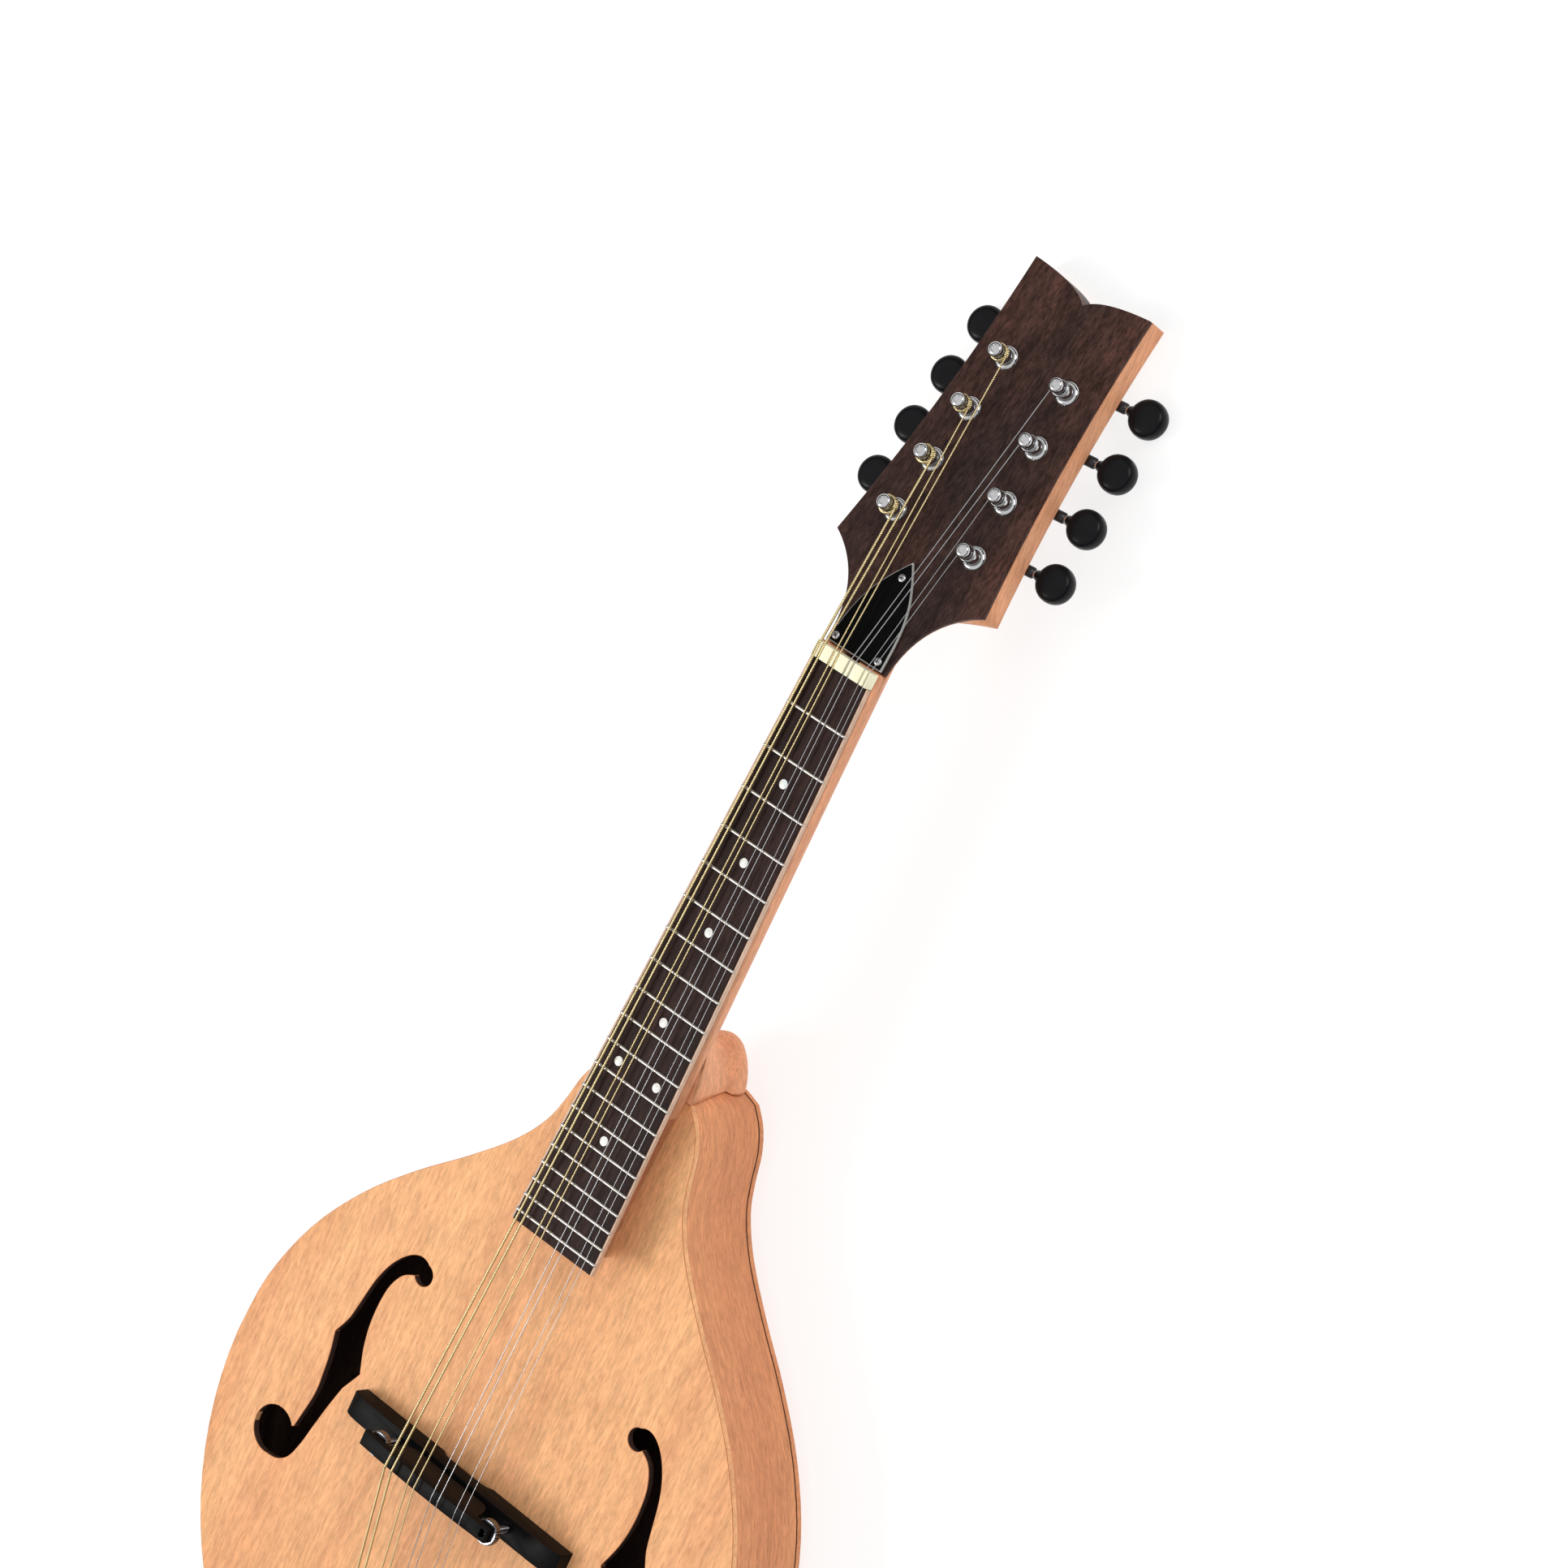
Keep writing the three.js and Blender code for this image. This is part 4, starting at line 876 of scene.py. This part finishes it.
for side, sign in (("bass", -1), ("treble", 1)):
    refined(f"tuner_plate_{side}", CHROME, 0.2)
    ferrules, plate_screws, plate_slots = Form(), Form(), Form()
    for row in range(TUNER_COUNT):
        x, y, angle = tuner_place(sign, row)
        at_post = Matrix.Translation((x, y, 0))
        ring = [
            (POST_RADIUS + 0.25, 0.9), (POST_RADIUS + 0.3, -1), (FERRULE_RADIUS, -1),
            (FERRULE_RADIUS, 0.2), (4.75, 0.55), (4.2, 1.1), (POST_RADIUS + 0.6, 1.4),
            (POST_RADIUS + 0.25, 1.25),
        ]
        skin = lathe(ring, 40)
        ferrules.add((skin[0], skin[1][:-2]), at_post)

        name = f"{side}_{row + 1}"
        radius = STRING_RADII[string_of_tuner(sign, row)]
        make_piece(
            f"tuner_post_{name}_shaft", post_form(), HEADSTOCK @ at_post, CHROME,
            f"post_{name}", sharp=50, replaced=[f"tuner_post_{name}"],
        )
        gear = toothed(
            GEAR_RADIUS, 0.5, GEAR_TEETH, -WORM_DEPTH - GEAR_HALF_WIDTH, -WORM_DEPTH + GEAR_HALF_WIDTH
        )
        make_piece(
            f"tuner_gear_{name}", Form().add(gear).add(
                screw_head(1.9, 0.9),
                Matrix.Translation((0, 0, -WORM_DEPTH - GEAR_HALF_WIDTH)) @ UPSIDE_DOWN,
            ),
            HEADSTOCK @ at_post, STEEL, f"post_{name}", sharp=35,
        )
        make_piece(
            f"string_turns_{name}", winding(radius), HEADSTOCK @ at_post,
            string_metal(radius), f"post_{name}", sharp=80,
        )

        button_start = BUTTON_REACH - BUTTON_RADIUS
        arm = HEADSTOCK @ Matrix.Translation((x, y, -WORM_DEPTH))
        arm = arm @ Matrix.Rotation(angle, 4, "Z") @ Matrix.Translation((0, WORM_OFFSET, 0))
        arm = arm @ Matrix.Scale(sign, 4, (1, 0, 0))
        shaft_end = button_start + SHAFT_INTO_BUTTON
        shaft = Form().add(
            tube([(SHAFT_START, 0, 0), (-WORM_HALF_LENGTH - WORM_GAP, 0, 0)], SHAFT_RADIUS, 20)
        ).add(
            screw_thread(2 * WORM_HALF_LENGTH, 1.35, 1.95, 1.6, 24),
            Matrix.Translation((-WORM_HALF_LENGTH, 0, 0)) @ Z_TO_X,
        ).add(tube([(WORM_HALF_LENGTH, 0, 0), (shaft_end, 0, 0)], SHAFT_RADIUS, 20))
        make_piece(
            f"tuner_shaft_{name}", shaft, arm, STEEL, f"button_{name}", sharp=50,
        )
        collar = lathe([(1.5, 0), (2.2, 0.25), (2.2, 4.6), (1.7, 5.2)], 24)
        make_piece(
            f"tuner_collar_{name}", collar,
            arm @ Matrix.Translation((button_start - COLLAR_SETBACK, 0, 0)) @ Z_TO_X,
            DARK_METAL, f"button_{name}", sharp=50,
        )
        neck_of_button = lathe([(1.5, 0), (1.9, 0.3), (2.2, 1.2), (3.2, 2.8)], 28)
        button = Form().add(lathe(BUTTON_PROFILE, 48), Matrix.Translation((BUTTON_REACH, 0, 0)))
        button.add(
            neck_of_button,
            Matrix.Translation((button_start - BUTTON_NECK_SETBACK, 0, 0)) @ Z_TO_X,
        )
        make_piece(
            f"tuner_knob_{name}", button, arm, BLACK_SATIN, f"button_{name}", sharp=60,
            replaced=[f"tuner_button_{name}"],
        )
    for row in PLATE_SCREW_ROWS:
        x, y, angle = tuner_place(sign, row)
        under = Matrix.Translation((x, y, PLATE_TOP_Z - PLATE_THICKNESS)) @ UPSIDE_DOWN
        plate_screws.add(screw_head(PLATE_SCREW_RADIUS, 0.7), under)
        plate_slots.add(cross_slot(PLATE_SCREW_RADIUS, 0.72), under @ Matrix.Rotation(row, 4, "Z"))
    make_piece(
        f"ferrules_{side}", ferrules, HEADSTOCK, CHROME, "instrument", sharp=50,
    )
    make_piece(
        f"tuner_plate_screws_{side}", plate_screws, HEADSTOCK, CHROME, "instrument",
        sharp=50,
    )
    make_piece(
        f"tuner_plate_screw_slots_{side}", plate_slots, HEADSTOCK, DARK_METAL, "instrument",
    )

# ---- Bridge -------------------------------------------------------------------------------------

refined("bridge_base", BLACK_WOOD, 0.9)
refined("bridge_saddle", BLACK_WOOD, 0.5)
for side, sign in (("bass", -1), ("treble", 1)):
    at_post = BRIDGE @ Matrix.Translation((sign * BRIDGE_POST_X, 0, 0))
    make_piece(
        f"thumbwheel_{side}_knurled",
        toothed(
            THUMBWHEEL_RADIUS, 0.18, 30, THUMBWHEEL_Z, THUMBWHEEL_Z + THUMBWHEEL_THICKNESS
        ),
        at_post, WHEEL_METAL,
        f"thumbwheel_{side}", sharp=40, replaced=[f"thumbwheel_{side}"],
    )
    make_piece(
        f"bridge_post_{side}_threaded",
        screw_thread(BRIDGE_POST_LENGTH, 1.25, BRIDGE_POST_RADIUS, BRIDGE_THREAD_PITCH),
        at_post @ Matrix.Translation((0, 0, BRIDGE_POST_BOTTOM)), WHEEL_METAL, "instrument", sharp=80,
        replaced=[f"bridge_post_{side}"],
    )

# ---- Tailpiece and strap button -----------------------------------------------------------------

refined("tailpiece_base", CHROME, 0.3)
refined("tailpiece_cover", CHROME, 0.45)
tail_axis = (
    BODY @ Matrix.Translation(STRAP_BUTTON) @ Matrix.Rotation(math.pi / 2, 4, "X")
)
strap_profile = [
    (0.01, -20), (3.2, -20), (3.2, 1.8), (5.7, 1.8), (6, 2.1), (6, 2.6), (5, 3.4), (4.2, 4.4),
    (3.85, 5.8), (3.8, 7.4), (4.1, 9), (5, 10.6), (6, 11.6), (6.4, 12.4), (6.3, 13.3),
    (5.6, 13.95), (3, 14.25), (0.01, 14.3),
]
make_piece(
    "strap_button_turned", lathe(strap_profile, 40), tail_axis, BLACK_SATIN, "instrument",
    sharp=50, replaced=["strap_button"],
)

# ---- Strings ------------------------------------------------------------------------------------


def string_x(index, place):
    course, second = divmod(index, 2)
    return (course - 1.5) * COURSE_SPACING[place] + (second - 0.5) * PAIR_SPACING[place]


def in_body(frame_matrix, point):
    """A point of another frame, in the soundbox's frame and in millimetres."""
    return BODY.inverted() @ (frame_matrix @ Vector(point))


def winding_contact(start, centre, radius, sign):
    """Where a string from start touches its winding, on the side facing the centre line."""
    away = centre - start
    turn = math.asin(radius / away.length) * sign
    reach = math.sqrt(away.length_squared - radius ** 2)
    away.normalize()
    away.rotate(Matrix.Rotation(turn, 2))
    return start + away * reach


for index, radius in enumerate(STRING_RADII):
    sign = -1 if index < len(STRING_RADII) / 2 else 1
    x, y, _ = tuner_place(sign, string_of_tuner(sign, index))
    number = index + 1
    material = string_metal(radius)
    saddle = in_body(NECK, (
        string_x(index, "saddle"), BREAK_Y_OF_COURSE[index // 2], STRING_Z_AT_SADDLE,
    ))
    nut_x = string_x(index, "nut")
    nut_front = in_body(NECK, (nut_x, SCALE_LENGTH - 0.5, STRING_Z_AT_NUT))
    nut_back = in_body(NECK, (nut_x, SCALE_LENGTH + NUT_LENGTH, STRING_Z_AT_NUT))
    leaving = HEADSTOCK.inverted() @ (BODY @ nut_back)
    contact = winding_contact(
        Vector((leaving.x, leaving.y)), Vector((x, y)), POST_RADIUS + radius, sign
    )
    at_post = in_body(HEADSTOCK, (contact.x, contact.y, sum(WINDING_Z) / 2))
    sounding = rounded_path([saddle, nut_front, nut_back, at_post], STRING_BEND)
    piece = make_piece(
        f"string_{number}_sounding", tube(sounding, radius, 12), BODY, material, None, sharp=80,
        replaced=[f"string_{number}"],
    )
    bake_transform(piece, "instrument", "saddle", start=BODY @ nut_front, end=BODY @ saddle)
    hook = Vector((string_x(index, "hook"), HOOK_Y, HOOK_Z))
    eye = [
        hook + Vector((0, -EYE_LENGTH + EYE_LENGTH * math.cos(turn), EYE_HEIGHT * math.sin(turn)))
        for turn in (2 * math.pi * i / EYE_STEPS for i in range(EYE_STEPS + 1))
    ]
    piece = make_piece(
        f"string_{number}_tail", Form().add(tube([saddle, hook], radius, 12)).add(
            tube(eye, radius * 0.7 + 0.1, 8)
        ),
        BODY, material, None, sharp=80,
    )
    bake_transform(piece, "instrument", "saddle", start=BODY @ hook, end=BODY @ saddle)

# ---- Floor, lights and camera -------------------------------------------------------------------

# The instrument rests on its tail edge and the tip of its headstock, so the floor is tilted.
FLOOR_HALF = 6.0
FLOOR_GAP = 0.0002
HEADSTOCK_FROM_Y = 0.3
FLOOR_GLOW = 0.78
SKY_STRENGTH = 0.8
LIGHT_TARGET = (0, 0.15, 0.04)
tail_edge_y = cad_box[0].y
floor_slope = max(
    -vertex.co.z / (vertex.co.y - tail_edge_y)
    for node in frame["nodes"].values()
    for vertex in node.data.vertices
    if vertex.co.y > HEADSTOCK_FROM_Y
)
floor_mesh = bpy.data.meshes.new("floor")
floor_mesh.from_pydata(
    [(-FLOOR_HALF, -FLOOR_HALF, 0), (FLOOR_HALF, -FLOOR_HALF, 0),
     (FLOOR_HALF, FLOOR_HALF, 0), (-FLOOR_HALF, FLOOR_HALF, 0)],
    [], [(0, 1, 2, 3)],
)
floor = bpy.data.objects.new("floor", floor_mesh)
bpy.context.scene.collection.objects.link(floor)
floor.location = (0, tail_edge_y, -FLOOR_GAP)
floor.rotation_euler = (-math.atan(floor_slope), 0, 0)
floor_material, floor_tree, floor_shader = new_material("pale_floor")
floor_tone = noise(floor_tree, scaled_place(floor_tree, (1, 1, 1)), 0.004, 2, 0.5)
floor_tree.links.new(
    ramp(floor_tree, floor_tone, (0.3, 0.26), (0.7, 0.28)), floor_shader.inputs["Base Color"]
)
floor_shader.inputs["Roughness"].default_value = 0.8
floor_shader.inputs["Specular IOR Level"].default_value = 0.1
floor_shader.inputs["Emission Color"].default_value = (1, 1, 1, 1)
floor_shader.inputs["Emission Strength"].default_value = FLOOR_GLOW
floor_mesh.materials.append(floor_material)

world = bpy.data.worlds.new("studio")
world.use_nodes = True
bpy.context.scene.world = world
world_tree = world.node_tree
direction = add_node(world_tree, "ShaderNodeTexCoord").outputs["Generated"]
height = add_node(world_tree, "ShaderNodeSeparateXYZ", Vector=direction).outputs["Z"]
sky = ramp(
    world_tree, height, (0.0, 0.85), (0.08, 0.06), (0.45, 0.06), (0.55, 1.0), (0.9, 1.1)
)
background = world_tree.nodes["Background"]
world_tree.links.new(sky, background.inputs["Color"])
background.inputs["Strength"].default_value = SKY_STRENGTH


def add_light(name, place, target, size, power, tint):
    light = bpy.data.lights.new(name, "AREA")
    light.shape = "RECTANGLE"
    light.size, light.size_y = size
    light.energy = power
    light.color = tint
    lamp = bpy.data.objects.new(name, light)
    bpy.context.scene.collection.objects.link(lamp)
    lamp.location = place
    lamp.rotation_euler = (Vector(target) - Vector(place)).to_track_quat("-Z", "Y").to_euler()


add_light("key", (-1.5, -0.9, 2.2), LIGHT_TARGET, (1.1, 1.1), 34, (1, 0.985, 0.96))
add_light("fill", (1.2, 2.2, 1.1), LIGHT_TARGET, (1.2, 0.8), 20, (1, 0.985, 0.97))

CAMERA_PLACE = Vector((1.0132, 0.8073, 1.6458))
CAMERA_TARGET = Vector((-0.0017, 0.3015, 0.044))
PICTURE_UP = Vector((-0.4742, 0.8801, 0.0226))
camera_data = bpy.data.cameras.new("camera")
camera_data.lens = 122.8
camera_data.sensor_width = 36
camera = bpy.data.objects.new("camera", camera_data)
bpy.context.scene.collection.objects.link(camera)
backwards = (CAMERA_PLACE - CAMERA_TARGET).normalized()
rightwards = PICTURE_UP.cross(backwards).normalized()
upwards = backwards.cross(rightwards)
camera.matrix_world = Matrix.Translation(CAMERA_PLACE) @ Matrix((
    (rightwards.x, upwards.x, backwards.x, 0),
    (rightwards.y, upwards.y, backwards.y, 0),
    (rightwards.z, upwards.z, backwards.z, 0),
    (0, 0, 0, 1),
))
bpy.context.scene.camera = camera
bpy.context.scene.view_settings.view_transform = "Standard"
